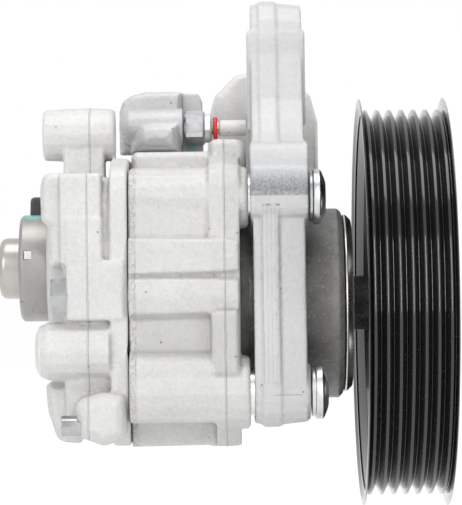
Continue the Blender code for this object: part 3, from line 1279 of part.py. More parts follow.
def make_fittings():
    left, right, top = ELBOW_LEFT_X, ELBOW_RIGHT_X, ELBOW_TOP_Z
    base = BLOCK_TOP_Z + GAP
    flange = filleted([
        (left, base, 0.0), (left, top - 0.0020, 0.0050), (left + 0.0075, top, 0.0030),
        (right - 0.0004, top, 0.0),
        (right - 0.0004, base, 0.0),
    ])
    elbow = cast_y("inlet_elbow", flange, [
        (PORT_Y + 0.0010, 0.0012), (PORT_Y + 0.0022, 0.0), (PORT_Y + 0.0110, 0.0), (PORT_Y + 0.0122, 0.0012),
    ], ZINC_PLATE)
    ear = filleted([
        (right - 0.0060, base, 0.0), (right - 0.0060, top - 0.0003, 0.0),
        (right + 0.0046, top - 0.0003, 0.0012),
        (right + 0.0058, top - 0.0028, 0.0), (right + 0.0060, base, 0.0),
    ])
    join(elbow, cast_y("ear", ear, [(PORT_Y + 0.0056, 0.0), (PORT_Y + 0.0116, 0.0)], tool=True))
    tube = [(right, 0.0), (right, TUBE_R), (left + 0.0030, TUBE_R), (left + 0.0010, TUBE_R - 0.0014),
            (left + 0.0001, TUBE_R - 0.0036), (left + 0.0001, 0.0)]
    join(elbow, turned("tube_leg", tube, centre=(PORT_Y - 0.0020, TUBE_Z), segments=MIDDLE_TURN, tool=True))
    dome = filleted([
        (left + 0.0036, base, 0.0), (left + 0.0040, base + 0.0092, 0.0062),
        (right - 0.0006, base + 0.0096, 0.0),
        (right - 0.0006, base, 0.0),
    ], 30.0)
    join(elbow, cast_y("dome", dome, [
        (PORT_Y - 0.0102, 0.0046), (PORT_Y - 0.0094, 0.0024), (PORT_Y - 0.0078, 0.0008),
        (PORT_Y - 0.0056, 0.0),
        (PORT_Y + 0.0030, 0.0),
    ], tool=True))
    port_x = (left + right) / 2
    add_nozzle(elbow, port_x)
    cut(elbow, drum("inlet_bore", (port_x, PORT_Y, base), PORT_R - 0.0010, 2 * TUBE_RISE, "Z", tool=True))

    centre = (PORT_Y, TUBE_Z - 0.0006)
    rear = right + GAP
    hex_front = rear + UNION_HEX_L
    barrel_front = hex_front + UNION_BARREL_L
    tip = barrel_front + RED_RING_W + 2 * GAP
    stub = [
        (tip, 0.0), (tip, STUB_CORE_R), (barrel_front, STUB_CORE_R), (barrel_front, UNION_BARREL_R - 0.0006),
        (barrel_front - 0.0006, UNION_BARREL_R), (hex_front - 0.0005, UNION_BARREL_R),
        (hex_front - 0.0005, 0.0),
    ]
    union = turned("pressure_union", stub, ZINC_PLATE, centre=centre, segments=SMALL_TURN)
    head = [(y + centre[0], z + centre[1]) for y, z in hexagon(UNION_HEX_R, 30.0)]
    join(union, cast_x("union_hex", head, [(rear, 0.0007), (rear + 0.0007, 0.0), (hex_front - 0.0007, 0.0),
                                           (hex_front, 0.0007)], tool=True))
    ring_rear = barrel_front + GAP
    middle = (RED_RING_R + STUB_CORE_R + GAP) / 2
    half = (RED_RING_R - STUB_CORE_R - GAP) / 2
    section = [(ring_rear + RED_RING_W / 2 + RED_RING_W / 2 * cos(radians(a)),
                middle + half * sin(radians(a)))
               for a in range(0, 360, 60)]
    turned("union_seal_ring", section, RED_RUBBER, centre=centre, segments=MIDDLE_TURN)
    pipe_rear = ring_rear + RED_RING_W + GAP
    upper_back = BRACKET_BACK_X - 0.0011 - GAP
    turned("return_pipe_stub", [
        (upper_back, PIPE_R), (pipe_rear + 0.0004, PIPE_R), (pipe_rear, PIPE_R - 0.0004),
        (pipe_rear, STUB_CORE_R * 0.6), (upper_back, STUB_CORE_R * 0.6),
    ], CAST_ALUMINIUM, centre=centre, segments=SMALL_TURN)


def add_nozzle(elbow, x):
    """The hose nozzle on the far side, with its bead, and the bore that leads from it down to the inlet."""
    start = PORT_Y + 0.0060
    end = start + NOZZLE_L
    join(elbow, drum("nozzle", (x, (start + end) / 2, TUBE_Z), NOZZLE_R, NOZZLE_L, "Y", segments=MIDDLE_TURN,
                     tool=True))
    bead_y = end - 0.0035
    join(elbow, drum("bead", (x, bead_y, TUBE_Z), NOZZLE_R + NOZZLE_BEAD, 0.0016, "Y", segments=MIDDLE_TURN,
                     tool=True))
    bore_l = end - PORT_Y + 0.0030
    cut(elbow, drum("nozzle_bore", (x, PORT_Y + bore_l / 2, TUBE_Z), NOZZLE_R - NOZZLE_WALL, bore_l, "Y",
                    tool=True))


def make_axis_empty():
    """The pump's axis, which carries everything that turns with the shaft."""
    empty = bpy.data.objects.new("shaft_axis", None)
    PARTS.objects.link(empty)
    turning = ["drive_shaft", "pulley", "pulley_hub", "bearing_inner_ring", "rotor", "shaft_snap_ring"]
    turning += [f"vane_{i + 1}" for i in range(VANES)]
    for name in turning:
        bpy.data.objects[name].parent = empty


make_drive_shaft()
make_pulley()
make_pulley_hub()
make_bearing()
make_neck_rings()
make_cam_ring()
make_plates()
make_rotor()
make_vanes()
make_snap_ring()
make_rear_bush()
make_front_housing()
make_rear_cover()
make_cover_bolts()
make_bracket_bolts()
make_sleeves()
make_bracket()
make_flow_valve()
make_solenoid()
make_fittings()
make_axis_empty()
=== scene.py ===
# %% [markdown]
# # A power steering pump, dressed in Blender
# The solids of the pump are already built and packed: a vane pump in two aluminium castings, with a bracket,
# a ribbed black pulley, a solenoid and its pipe fittings. This lesson gives every surface its finish, and makes
# the castings and the turned pieces again with the roundings that the plain solids lack.
# The first three lines load the solids as a fixed frame. Nothing in it is moved.

# %% Load the frame
import json
from math import cos, degrees, pi, radians, sin, sqrt, tan

import bmesh
import bpy
import numpy
from mathutils import Matrix, Vector


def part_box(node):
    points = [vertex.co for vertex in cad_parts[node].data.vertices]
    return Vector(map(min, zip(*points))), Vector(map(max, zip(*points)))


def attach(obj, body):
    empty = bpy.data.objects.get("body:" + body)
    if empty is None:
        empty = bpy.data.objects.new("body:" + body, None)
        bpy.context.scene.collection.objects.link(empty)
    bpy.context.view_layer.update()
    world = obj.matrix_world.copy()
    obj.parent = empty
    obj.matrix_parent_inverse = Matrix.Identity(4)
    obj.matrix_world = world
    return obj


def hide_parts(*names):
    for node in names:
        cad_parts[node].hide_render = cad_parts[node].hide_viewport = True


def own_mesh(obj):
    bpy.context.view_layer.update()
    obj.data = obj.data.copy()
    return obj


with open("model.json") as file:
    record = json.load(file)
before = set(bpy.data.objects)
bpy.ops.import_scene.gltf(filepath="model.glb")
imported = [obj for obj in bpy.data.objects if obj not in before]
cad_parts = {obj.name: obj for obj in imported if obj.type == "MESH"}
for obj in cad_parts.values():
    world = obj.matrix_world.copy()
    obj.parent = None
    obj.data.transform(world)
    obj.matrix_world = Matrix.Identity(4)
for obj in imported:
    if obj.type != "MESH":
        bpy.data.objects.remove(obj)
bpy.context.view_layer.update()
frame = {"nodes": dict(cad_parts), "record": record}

solids = frame["nodes"]

# %% [markdown]
# ## The camera
# A catalogue photograph of a part is taken from far away with a long lens, so that circles stay round and the
# two flanges of the pulley stand almost in line. The distance shows in how much wider the near rim of the
# pulley looks than its axis. The camera looks straight along +Y and is rolled a little, as the photograph is.

# %% Camera
PICTURE_HEIGHT = 505
FOCAL_IN_PICTURE_UNITS = 2966
SENSOR = 36.0
CAMERA_PLACE = (-0.0626, -0.880, 0.0153)
CAMERA_ROLL = -0.7


def link(name, data):
    """Puts an object with this data, such as a mesh, a lamp or a camera, into the scene."""
    made = bpy.data.objects.new(name, data)
    bpy.context.scene.collection.objects.link(made)
    return made


lens = bpy.data.cameras.new("catalogue_camera")
lens.sensor_width = SENSOR
lens.lens = FOCAL_IN_PICTURE_UNITS * SENSOR / PICTURE_HEIGHT
lens.clip_start = 0.05
lens.clip_end = 50.0
camera = link("catalogue_camera", lens)
camera.matrix_world = (
    Matrix.Translation(CAMERA_PLACE)
    @ Matrix.Rotation(radians(90), 4, "X")
    @ Matrix.Rotation(radians(CAMERA_ROLL), 4, "Z")
)
bpy.context.scene.camera = camera
bpy.context.scene.view_settings.view_transform = "Standard"
print("lens:", round(lens.lens, 1), "mm")

# %% [markdown]
# ## Numbers that flow through a shader
# A finish is a tree of nodes, but it is easier to read as arithmetic. The class below wraps one output of a node.
# Adding or multiplying two of them adds a Math node, or Vector Math where vectors are meant, so that
# 1 - mask or grain * 0.4 can be written as they are said.

# %% Shader arithmetic


def joins(operation, reflected=False):
    """An operator that adds a Math node, or a Vector Math node if the signal is a vector."""
    def operator(self, other=0.0):
        kind = "ShaderNodeVectorMath" if self.socket.type == "VECTOR" else "ShaderNodeMath"
        first, second = (other, self) if reflected else (self, other)
        return self.finish.node(kind, {"operation": operation}, {0: first, 1: second})
    return operator


class Signal:
    """One output of a shader node, which can be used in sums."""

    def __init__(self, finish, socket):
        self.finish = finish
        self.socket = socket

    __add__, __radd__ = joins("ADD"), joins("ADD", True)
    __sub__, __rsub__ = joins("SUBTRACT"), joins("SUBTRACT", True)
    __mul__, __rmul__ = joins("MULTIPLY"), joins("MULTIPLY", True)
    __truediv__, __rtruediv__ = joins("DIVIDE"), joins("DIVIDE", True)
    __pow__, __rpow__ = joins("POWER"), joins("POWER", True)
    __abs__ = joins("ABSOLUTE")


print("operators:", [name for name in vars(Signal) if name.startswith("__r")])

# %% [markdown]
# ## A finish under construction
# A finish starts as one colour and is worked on in layers, as real surfaces are: a tint here, a bump there. Its
# colour, normal and roughness so far are kept beside the shader and are plugged in when the finish is done.
# Any node comes from one method, node(). Where a point lies on the object decides how it looks, so that the
# pattern stays in place when the piece turns.

# %% A finish


class Finish:
    """A material with the Principled shader that every finish ends in."""

    def __init__(self, name, colour, roughness, metallic, coat=0.0, specular=0.5):
        self.material = bpy.data.materials.new(name)
        self.material.use_nodes = True
        self.tree = self.material.node_tree
        self.shader = self.tree.nodes["Principled BSDF"]
        self.colour, self.normal, self.roughness = colour, None, roughness
        self.set(Base_Color=colour, Roughness=roughness, Metallic=metallic, Coat_Weight=coat)
        self.shader.inputs["Specular IOR Level"].default_value = specular
        self.place = self.node("ShaderNodeTexCoord", output="Object")
        parts = self.node("ShaderNodeSeparateXYZ", inputs={"Vector": self.place})
        self.x, self.y, self.z = (Signal(self, part) for part in parts.socket.node.outputs)

    def node(self, kind, settings=None, inputs=None, output=0):
        """Adds a node: its settings first, then the value or the link of each input."""
        made = self.tree.nodes.new(kind)
        for key, value in (settings or {}).items():
            if key == "stops":
                while len(made.color_ramp.elements) < len(value):
                    made.color_ramp.elements.new(0.5)
                for element, (place, level) in zip(made.color_ramp.elements, value):
                    element.position = place
                    element.color = (level, level, level, 1.0)
            else:
                setattr(made, key, value)
        for key, value in (inputs or {}).items():
            self._plug(made.inputs[key], value)
        return Signal(self, made.outputs[output])

    def _plug(self, socket, value):
        if isinstance(value, Signal):
            self.tree.links.new(value.socket, socket)
        elif socket.type == "RGBA" and len(value) == 3:
            socket.default_value = (*value, 1.0)
        else:
            socket.default_value = value

    def set(self, **inputs):
        """Gives the shader's inputs their values or links, as in Base_Color=..."""
        for key, value in inputs.items():
            self._plug(self.shader.inputs[key.replace("_", " ")], value)

    def noise(self, size, detail=2.0, roughness=0.5, vector=None):
        """Soft random mottling whose patches are about size metres across, from 0 to 1."""
        return self.node("ShaderNodeTexNoise", inputs={
            "Vector": vector or self.place, "Scale": 1.0 / size, "Detail": detail, "Roughness": roughness,
        })

    def ramp(self, value, stops):
        """Maps a value through grey levels at the given places."""
        return self.node("ShaderNodeValToRGB", {"stops": stops}, {"Fac": value})

    def step(self, value, low, high, first=0.0, last=1.0):
        """Goes from first to last while the value goes from low to high."""
        return self.ramp(value, [(low, first), (high, last)])

    def near(self, value, centre, half):
        """1 where value is within half of centre, falling to 0 at twice that."""
        return self.step(abs(value - centre) / (2 * half), 0.5, 1.0, 1.0, 0.0)

    def within(self, value, low, high, edge=0.002):
        """1 where the value lies between low and high, and 0 outside."""
        return self.ramp((value - low) / (high - low) * 0.5 + 0.25,
                         [(0.25 - edge, 0.0), (0.25, 1.0), (0.75, 1.0), (0.75 + edge, 0.0)])

    def near_side(self, start=0.40, end=0.50):
        """1 on the side that the camera sees, from a share of 40 mm in front of the axis."""
        return self.step(self.y / -0.04, start, end)

    def cells(self, low, high):
        """Small round spots in the middle of irregular cells, for pores and specks."""
        away = self.node("ShaderNodeTexVoronoi", inputs={"Vector": self.place, "Scale": 1.0 / PORE_SPACING})
        return self.step(away, low, high, 1.0, 0.0)

    def blend(self, share, first, second):
        """A colour between two colours."""
        return self.node("ShaderNodeMix", {"data_type": "RGBA"}, {0: share, 6: first, 7: second}, output=2)

    def tint(self, share, colour):
        """Blends the finish's colour so far with another."""
        self.colour = self.blend(share, self.colour, colour)

    def bump(self, height, depth):
        """Tilts the finish's normal by a height field, whose full height is depth metres."""
        inputs = {"Height": height, "Distance": depth, "Strength": 1.0}
        if self.normal is not None:
            inputs["Normal"] = self.normal
        self.normal = self.node("ShaderNodeBump", inputs=inputs)

    def done(self, details=()):
        """Adds the local details, plugs in what was reached and hands the finish over."""
        for detail in details:
            detail(self)
        self.set(Base_Color=self.colour, Roughness=self.roughness, Normal=self.normal)
        return self


PORE_SPACING = 0.0055
print("ways to work on a finish:", [name for name in vars(Finish) if not name.startswith("_")])

# %% [markdown]
# ## Light, floor and background
# Catalogue photographs of metal parts are taken in a white tent: soft light from all sides, a brighter box
# overhead, one at each front corner and a tall narrow one in front, whose mirror image is the thin white line on
# each ridge of the pulley. The background is simply white. The world here is a pale dome, pure white to the
# camera and to reflections. The floor is a white disc well below the pump, with a share of plain white added
# for the camera, so that it meets the background without a line and still takes the pump's soft shadow.

# %% Light, floor and background
DOME = 0.52
FLOOR_Z = -0.105
FLOOR_RADIUS = 6.0
FLOOR_WHITE = 0.54
PAPER = (0.86, 0.86, 0.86)
WHITE = (1.0, 1.0, 1.0)
AIM = Vector((-0.062, 0.0, 0.015))


def seen_directly(tree):
    """1 for rays from the camera, from a reflection or through glass, and 0 for light that falls on a surface."""
    path = tree.nodes.new("ShaderNodeLightPath")
    total = path.outputs["Is Camera Ray"]
    for name in ("Is Glossy Ray", "Is Transmission Ray"):
        highest = tree.nodes.new("ShaderNodeMath")
        highest.operation = "MAXIMUM"
        tree.links.new(total, highest.inputs[0])
        tree.links.new(path.outputs[name], highest.inputs[1])
        total = highest.outputs[0]
    return total


def make_dome():
    world = bpy.data.worlds.new("white_tent")
    world.use_nodes = True
    bpy.context.scene.world = world
    tree = world.node_tree
    background = tree.nodes["Background"]
    background.inputs["Color"].default_value = (*WHITE, 1.0)
    level = tree.nodes.new("ShaderNodeMapRange")
    level.inputs["To Min"].default_value = DOME
    level.inputs["To Max"].default_value = 1.0
    tree.links.new(seen_directly(tree), level.inputs["Value"])
    tree.links.new(level.outputs["Result"], background.inputs["Strength"])


def make_floor():
    bm = bmesh.new()
    bmesh.ops.create_circle(bm, cap_ends=True, segments=96, radius=FLOOR_RADIUS)
    mesh = bpy.data.meshes.new("floor")
    bm.to_mesh(mesh)
    bm.free()
    floor = link("floor", mesh)
    floor.location = (AIM.x, AIM.y, FLOOR_Z)
    paper = Finish("white_paper", PAPER, 0.9, 0.0, specular=0.0)
    shine = Signal(paper, seen_directly(paper.tree)) * FLOOR_WHITE
    paper.set(Emission_Color=WHITE, Emission_Strength=shine)
    mesh.materials.append(paper.material)


def make_lamp(name, place, width, height, power):
    data = bpy.data.lights.new(name, "AREA")
    data.shape = "RECTANGLE"
    data.size = width
    data.size_y = height
    data.energy = power
    lamp = link(name, data)
    lamp.location = place
    lamp.rotation_mode = "QUATERNION"
    lamp.rotation_quaternion = (AIM - Vector(place)).to_track_quat("-Z", "Y")


make_dome()
make_floor()
make_lamp("overhead_box", (-0.10, -0.10, 0.75), 0.60, 0.45, 2.4)
make_lamp("left_front_box", (-0.75, -0.75, 0.35), 0.35, 0.60, 2.0)
make_lamp("right_front_box", (0.60, -0.85, 0.20), 0.25, 0.60, 0.9)
make_lamp("front_strip", (0.07, -1.35, 0.24), 0.08, 1.50, 4.5)

# %% [markdown]
# ## The bodies and their slots
# Every solid belongs to a body of the frame, and takes its finish from a slot of the record. The two tables
# below are read from the record, so that a piece made here can be tied to the right body by its name alone.

# %% Bodies, slots and how a piece is shown
WELD = 2e-6
record = frame["record"]
body_of = {node: body for body, nodes in record["behaviour"]["bodies"].items() for node in nodes}
slot_of = {part["node"]: part["material_slot"] for part in record["subparts"]}
finishes = {}


def merged(node):
    """A copy of a solid's mesh in which the corners that faces share are one vertex."""
    bm = bmesh.new()
    bm.from_mesh(solids[node].data)
    bmesh.ops.remove_doubles(bm, verts=bm.verts, dist=WELD)
    return bm


def to_mesh(name, bm, smooth_under=35.0):
    """Turns a bmesh into a mesh whose faces are smooth except across edges sharper than the angle."""
    bmesh.ops.recalc_face_normals(bm, faces=bm.faces)
    mesh = bpy.data.meshes.new(name)
    bm.to_mesh(mesh)
    bm.free()
    mesh.shade_smooth()
    mesh.set_sharp_from_angle(angle=radians(smooth_under))
    return mesh


def show(name, mesh, node, finish=None):
    """Shows a mesh in place of a solid, on its body and, if it has no finish yet, with that of its slot."""
    piece = link(name, mesh)
    if not mesh.materials:
        mesh.materials.append((finish or finishes[slot_of[node]]).material)
    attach(piece, body_of[node])
    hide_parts(node)
    return piece


def triangles(mesh):
    return sum(len(face.vertices) - 2 for face in mesh.polygons)


# %% [markdown]
# ## The skin of an aluminium casting
# Die-cast aluminium that has been shot-blasted is a light, slightly warm grey. It is granular close up, cloudy from
# a little further away, and has a few dark pores. Its inner corners, which a point's pointiness tells, get painted
# shade. One recipe makes it for every casting, and a list of details adds what one casting alone has. The bumps
# are tenths of a millimetre at most.

# %% The skin of an aluminium casting
GRAIN = 0.00034
LUMP = 5 * GRAIN
FLECK = 0.0011
CAST_LIGHT = (0.73, 0.725, 0.715)
CAST_DARK = (0.54, 0.535, 0.525)
WORN_EDGE = (0.90, 0.89, 0.88)
# a dark brown for real dirt, also used as painted shade in corners and beside raised lines
DIRT_AND_SHADE = (0.16, 0.145, 0.125)


def lumps_of(finish):
    return finish.noise(LUMP, 3.0, 0.55)


def cast_finish(name, light=CAST_LIGHT, dark=CAST_DARK, rough_band=None, metallic=0.35, details=()):
    """The casting's skin. rough_band is a band (low, high) along X in which the skin is coarse."""
    finish = Finish(name, light, 0.52, metallic, specular=0.4)
    grain = finish.noise(GRAIN, 2.0, 0.65)
    lumps = lumps_of(finish)
    clouds = finish.noise(0.011, 3.0, 0.6)
    flecks = finish.noise(FLECK, 3.0, 0.7)
    pores = finish.cells(0.030, 0.060)
    pointed = finish.node("ShaderNodeNewGeometry", output="Pointiness")
    tone = clouds * 0.4 + lumps * 0.4 + grain * 0.5 + flecks * 0.5 - 0.44
    finish.colour = finish.blend(finish.step(tone, 0.15, 0.75), dark, light)
    finish.bump(grain, 0.00012)
    finish.bump(lumps, 0.00020)
    finish.bump(flecks, 0.00015)
    if rough_band:
        low, high = rough_band
        rough = finish.near(finish.x, (low + high) / 2, (high - low) / 2.4)
        finish.tint(rough * finish.step(finish.noise(0.0007, 2.0, 0.7), 0.40, 0.62) * 0.30, DIRT_AND_SHADE)
        finish.bump(finish.noise(0.0008, 1.0) * rough, 0.0004)
    finish.bump(1.0 - pores, 0.0002)
    finish.tint(finish.step(pointed, 0.515, 0.580) * 0.35, WORN_EDGE)
    # painted shade: inner corners, found by pointiness, are darkened
    finish.tint(finish.step(pointed, 0.425, 0.492, 1.0, 0.0) * 0.62, DIRT_AND_SHADE)
    finish.tint(pores * 0.70, DIRT_AND_SHADE)
    finish.roughness = 0.46 + lumps * 0.20
    return finish.done(details)


finishes["cast_aluminium"] = cast_finish("cast_aluminium")
print("nodes in the plain casting's finish:", len(finishes["cast_aluminium"].tree.nodes))

# %% [markdown]
# ## Places on a casting that a tool or a stone has touched
# Where a casting seats or turns it is machined, and that place is bare metal. The bearing's neck is turned and has
# gone dull, with painted shade along it, the bracket's upper boss has a bright turned band with painted shade over
# its lower part, and flat seats are milled. Each detail is a function that makes a function: the outer one takes the
# place, and the inner one is run on the finish of the casting.

# %% Machined places
# the neck's and the band's dull colours carry painted shade, and the neck's bare colour painted light
NECK_DULL_AND_SHADE = (0.094, 0.091, 0.086)
NECK_BARE_AND_LIT = (0.38, 0.375, 0.365)
NECK_STAIN = (0.05, 0.047, 0.042)
NECK_SPECK = (0.60, 0.59, 0.57)
BAND_BARE = (0.56, 0.565, 0.58)
BAND_DULL_AND_SHADE = ((0.25, 0.255, 0.27), (0.44, 0.45, 0.47))
MILLED = ((0.66, 0.66, 0.65), (0.84, 0.84, 0.83))


def turned_neck(start, deep, widest):
    """A neck that was turned and left bare, with painted shade: darker than the blasted skin, lighter at its hidden
    base, darkest beside the bracket and paler towards its end.
    """
    def detail(finish):
        radius = (finish.y * finish.y + finish.z * finish.z) ** 0.5
        around = finish.step(radius / widest * 0.5, 0.495, 0.5, 1.0, 0.0)
        share = finish.step((finish.x - start) / 0.0005, 0.0, 1.0) * around
        # painted shade along the neck: lighter at its hidden base, darkest beside the bracket, paler towards its end
        along = finish.ramp((finish.x - start) / deep, [(0.20, 0.60), (0.60, 0.14), (0.80, 0.42), (1.0, 1.0)])
        bare = finish.blend(along, NECK_DULL_AND_SHADE, NECK_BARE_AND_LIT)
        bare = finish.blend(finish.step(finish.noise(0.0050, 3.0, 0.6), 0.40, 0.75, 0.0, 0.5), bare, NECK_STAIN)
        specks = finish.step(finish.noise(0.0008, 2.0, 0.6), 0.60, 0.70)
        finish.tint(share, finish.blend(specks * 0.30, bare, NECK_SPECK))
        finish.roughness = finish.roughness - share * 0.12
    return detail


def turned_band(low, high):
    """A band of the boss that was turned: bright and smooth, with painted shade, mottled, over its lower part."""
    def detail(finish):
        across = (finish.z - low) / (high - low)
        share = finish.ramp(across, [(0.0, 0.0), (0.03, 1.0), (0.96, 1.0), (1.0, 0.0)])
        share = share * finish.near_side(0.55, 0.62)
        # painted shade: the band darkens towards its lower edge, as light from above leaves it
        darkening_share = finish.ramp(across, [(0.0, 1.0), (0.40, 0.85), (0.72, 0.15), (1.0, 0.0)])
        dull = finish.blend(finish.step(finish.noise(0.0007, 2.0, 0.7), 0.38, 0.66), *BAND_DULL_AND_SHADE)
        finish.tint(share, finish.blend(darkening_share, BAND_BARE, dull))
        finish.roughness = finish.roughness - share * 0.15
    return detail


def faced_flat(spot, level, sign):
    """A flat that was milled so that it seats. spot names the axis, x or y, and sign the side that it faces."""
    def detail(finish):
        share = finish.step((getattr(finish, spot) - level) * sign / 0.0002 + 0.5, 0.45, 0.55)
        drawn = finish.node("ShaderNodeVectorMath", {"operation": "MULTIPLY"}, {0: finish.place, 1: (1.0, 1.0, 0.06)})
        cuts = finish.noise(0.00025, 2.0, vector=drawn)
        finish.tint(share, finish.blend(cuts, *MILLED))
        finish.bump(cuts * share, 0.00002)
        finish.roughness = finish.roughness - share * 0.20
    return detail


def tumbled(amount):
    """A small casting that was tumbled with stones: the same skin, but smoother."""
    def detail(finish):
        finish.roughness = finish.roughness - amount
    return detail


print("machined places:", [make.__name__ for make in (turned_neck, turned_band, faced_flat, tumbled)])

# %% [markdown]
# ## Marks that the die and people leave, and painted light and shade
# Where two halves of the die met, a fine raised line is left, with painted shadow at its foot, and slides of the die
# leave finer ones, some of them with painted shade. The far arm gets painted light, and a pocket gets painted shade.
# The dabs of teal paint are such as an inspector leaves on a part that has passed. All this is thinner than a mesh
# could hold, so it is bumps and tints.

# %% Marks of the die and of people, and painted light and shade
FAR_ARM_PAINTED_LIGHT = (0.84, 0.83, 0.81)
PAINTED_SHADE = (0.40, 0.395, 0.385)
PAINT = (0.16, 0.62, 0.60)


def parting_line(place):
    """The raised line round a casting at a place along X, with painted shadow beside it."""
    def detail(finish):
        wander = (lumps_of(finish) - 0.5) * 0.0004 + finish.x
        finish.bump(finish.near(wander, place, 0.00012), 0.00022)
        # painted shadow at the foot of the raised line
        finish.tint(finish.near(wander, place + 0.00028, 0.0001) * 0.20, DIRT_AND_SHADE)
    return detail


def scribed_line(level, low, high):
    """A short fine line across the edge, where two slides of the die met."""
    def detail(finish):
        mark = finish.near(finish.z, level, 0.00009) * finish.within(finish.x, low, high) * finish.near_side()
        finish.tint(mark * 0.40, DIRT_AND_SHADE)
        finish.bump(mark, 0.00003)
    return detail


def scribed_strip(low, high, x_lines, thick=0.00008):
    """The fine raised outline of a narrow rib along Z, drawn as dark lines that are partly die lines and partly
    painted shade at the rib's edges, with a dirty upper end.
    """
    def detail(finish):
        beside = finish.within(finish.x, x_lines[0], x_lines[-1], 0.02) * finish.near_side()
        above = finish.within(finish.z, low, high) * finish.near_side()
        darkening_share = finish.step(finish.noise(0.0030), 0.30, 0.70, 0.15, 1.0)
        marks = [finish.near(finish.x, line, thick) * above for line in x_lines]
        marks += [finish.near(finish.z, line, thick) * beside for line in (low, high)]
        # painted shade at the rib's edges, partly die lines: the outline lines are darkened
        for mark in marks:
            finish.tint(mark * darkening_share * 0.24, DIRT_AND_SHADE)
            finish.bump(mark, 0.00002)
        blots = finish.step(finish.noise(0.0009, 1.0), 0.42, 0.62)
        finish.tint(finish.near(finish.z, high + 0.0003, 0.0002) * beside * blots * 0.75, DIRT_AND_SHADE)
    return detail


def painted_shade_patch(x_low, x_high, z_low, z_high, share):
    """Painted shade on a place on the near side that is darker in the photograph than even light leaves it."""
    def detail(finish):
        patch = finish.within(finish.x, x_low, x_high, 0.02) * finish.within(finish.z, z_low, z_high, 0.02)
        # painted shade: the place is darkened towards a grey
        finish.tint(patch * finish.near_side() * share, PAINTED_SHADE)
    return detail


def painted_light_beyond(start):
    """Painted light: the far arm's skin is made paler from a place along Y onwards, where the near parts shade it."""
    def detail(finish):
        # painted light on the far arm
        finish.tint(finish.step((finish.y - start) / 0.012, 0.0, 1.0, 0.0, 0.65), FAR_ARM_PAINTED_LIGHT)
    return detail


def paint_dab(centre, radius):
    """A dab of marking paint with a ragged edge."""
    def detail(finish):
        away = finish.node("ShaderNodeVectorMath", {"operation": "DISTANCE"}, {0: finish.place, 1: centre}, output=1)
        ragged = away / radius + (finish.noise(0.0008) - 0.5) * 0.9
        finish.tint(finish.step(ragged, 0.55, 1.0, 0.75, 0.0), PAINT)
    return detail


print("marks:", [make.__name__ for make in (parting_line, scribed_line, scribed_strip, painted_shade_patch)])

# %% [markdown]
# ## Turned and plated metal
# A turned surface carries the fine rings of the tool, which follow the radius and the length of the piece, not its
# angle. The rings come from noise that reads only those two. Plated and ground steel differ in how bright they
# are, how strong the rings are and how much the plating is mottled.

# %% Turned and plated metal
CAN_CENTRE = (0.0, 0.0113)
UNION_SEAT = -0.0700


def ring_space(finish, centre=(0.0, 0.0)):
    """A point's place as (x, radius, 0) about an axis along X."""
    across = finish.y - centre[0]
    up = finish.z - centre[1]
    radius = (across * across + up * up) ** 0.5
    return finish.node("ShaderNodeCombineXYZ", inputs={0: finish.x, 1: radius, 2: 0.0})


def metal_finish(name, colour, roughness, rings=0.00001, mottle=0.25, pitch=0.00018, centre=(0.0, 0.0),
                 metallic=1.0, details=()):
    """Turned metal with rings of the given depth and pitch, and a mottled tone."""
    finish = Finish(name, colour, roughness, metallic)
    space = ring_space(finish, centre)
    wide = finish.noise(pitch * 8, 1.0, vector=space)
    clouds = finish.noise(0.0045, 3.0, 0.6)
    shade = finish.step(clouds * 0.7 + wide * 0.5 - 0.1, 0.30, 0.62, 1.0, 0.0)
    finish.tint(shade * mottle, tuple(0.55 * part for part in colour))
    finish.tint(finish.cells(0.030, 0.055) * 0.5, DIRT_AND_SHADE)
    finish.bump(finish.noise(pitch, 2.0, 0.6, space), rings)
    finish.bump(clouds, 0.00001)
    finish.roughness = roughness + (clouds - 0.5) * 0.25
    return finish.done(details)


for name, colour, roughness, rings, mottle in (
    ("machined_aluminium", (0.80, 0.80, 0.79), 0.30, 0.00002, 0.25),
    ("bright_steel", (0.70, 0.70, 0.69), 0.24, 0.000006, 0.25),
    ("dark_steel", (0.30, 0.29, 0.28), 0.28, 0.00001, 0.25),
    ("zinc_plate", (0.58, 0.59, 0.60), 0.30, 0.000005, 0.30),
    ("bronze", (0.55, 0.36, 0.18), 0.35, 0.00001, 0.25),
):
    finishes[name] = metal_finish(name, colour, roughness, rings, mottle)
finishes["copper_wire"] = metal_finish("copper_wire", (0.62, 0.26, 0.12), 0.35, 0.00012, pitch=0.0004)
finishes["can_steel"] = metal_finish(
    "can_steel", (0.35, 0.34, 0.325), 0.38, 0.000008, centre=CAN_CENTRE, metallic=0.75,
    details=[paint_dab((-0.1208, -0.0040, 0.0268), 0.0034)],
)
ring_steel = metal_finish("ring_steel", (0.66, 0.65, 0.62), 0.30, 0.000006)
# painted light: the hub's steel is made brighter than it is, since it sits in shade between the ring and the pulley
hub_steel_painted_light = metal_finish("hub_steel_painted_light", (0.88, 0.87, 0.86), 0.30, metallic=0.35)
nose_steel = metal_finish("nose_steel", (0.44, 0.425, 0.405), 0.30, 0.000008, centre=CAN_CENTRE, metallic=0.8)
bolt_steel = metal_finish("bolt_steel", (0.42, 0.425, 0.43), 0.22, 0.000006, 0.35)
union_plate = metal_finish(
    "union_plate", (0.50, 0.505, 0.525), 0.48, 0.000005, 0.30, details=[faced_flat("x", UNION_SEAT, 1)],
)
pipe_skin = cast_finish("pipe_skin", (0.84, 0.83, 0.82), (0.70, 0.69, 0.68), metallic=0.2)
print("metal finishes:", len(finishes) - 1)

# %% [markdown]
# ## Black paint, plastic and rubber
# The pulley is stove-enamelled in gloss black. Under studio light such a rim shows only thin white lines, where the
# light boxes are mirrored, so its surface is kept smooth, under a thin clear coat. Plastic is matt with a fine
# texture, and rubber is duller still.

# %% Black paint, plastic and rubber
DUST = (0.35, 0.34, 0.33)


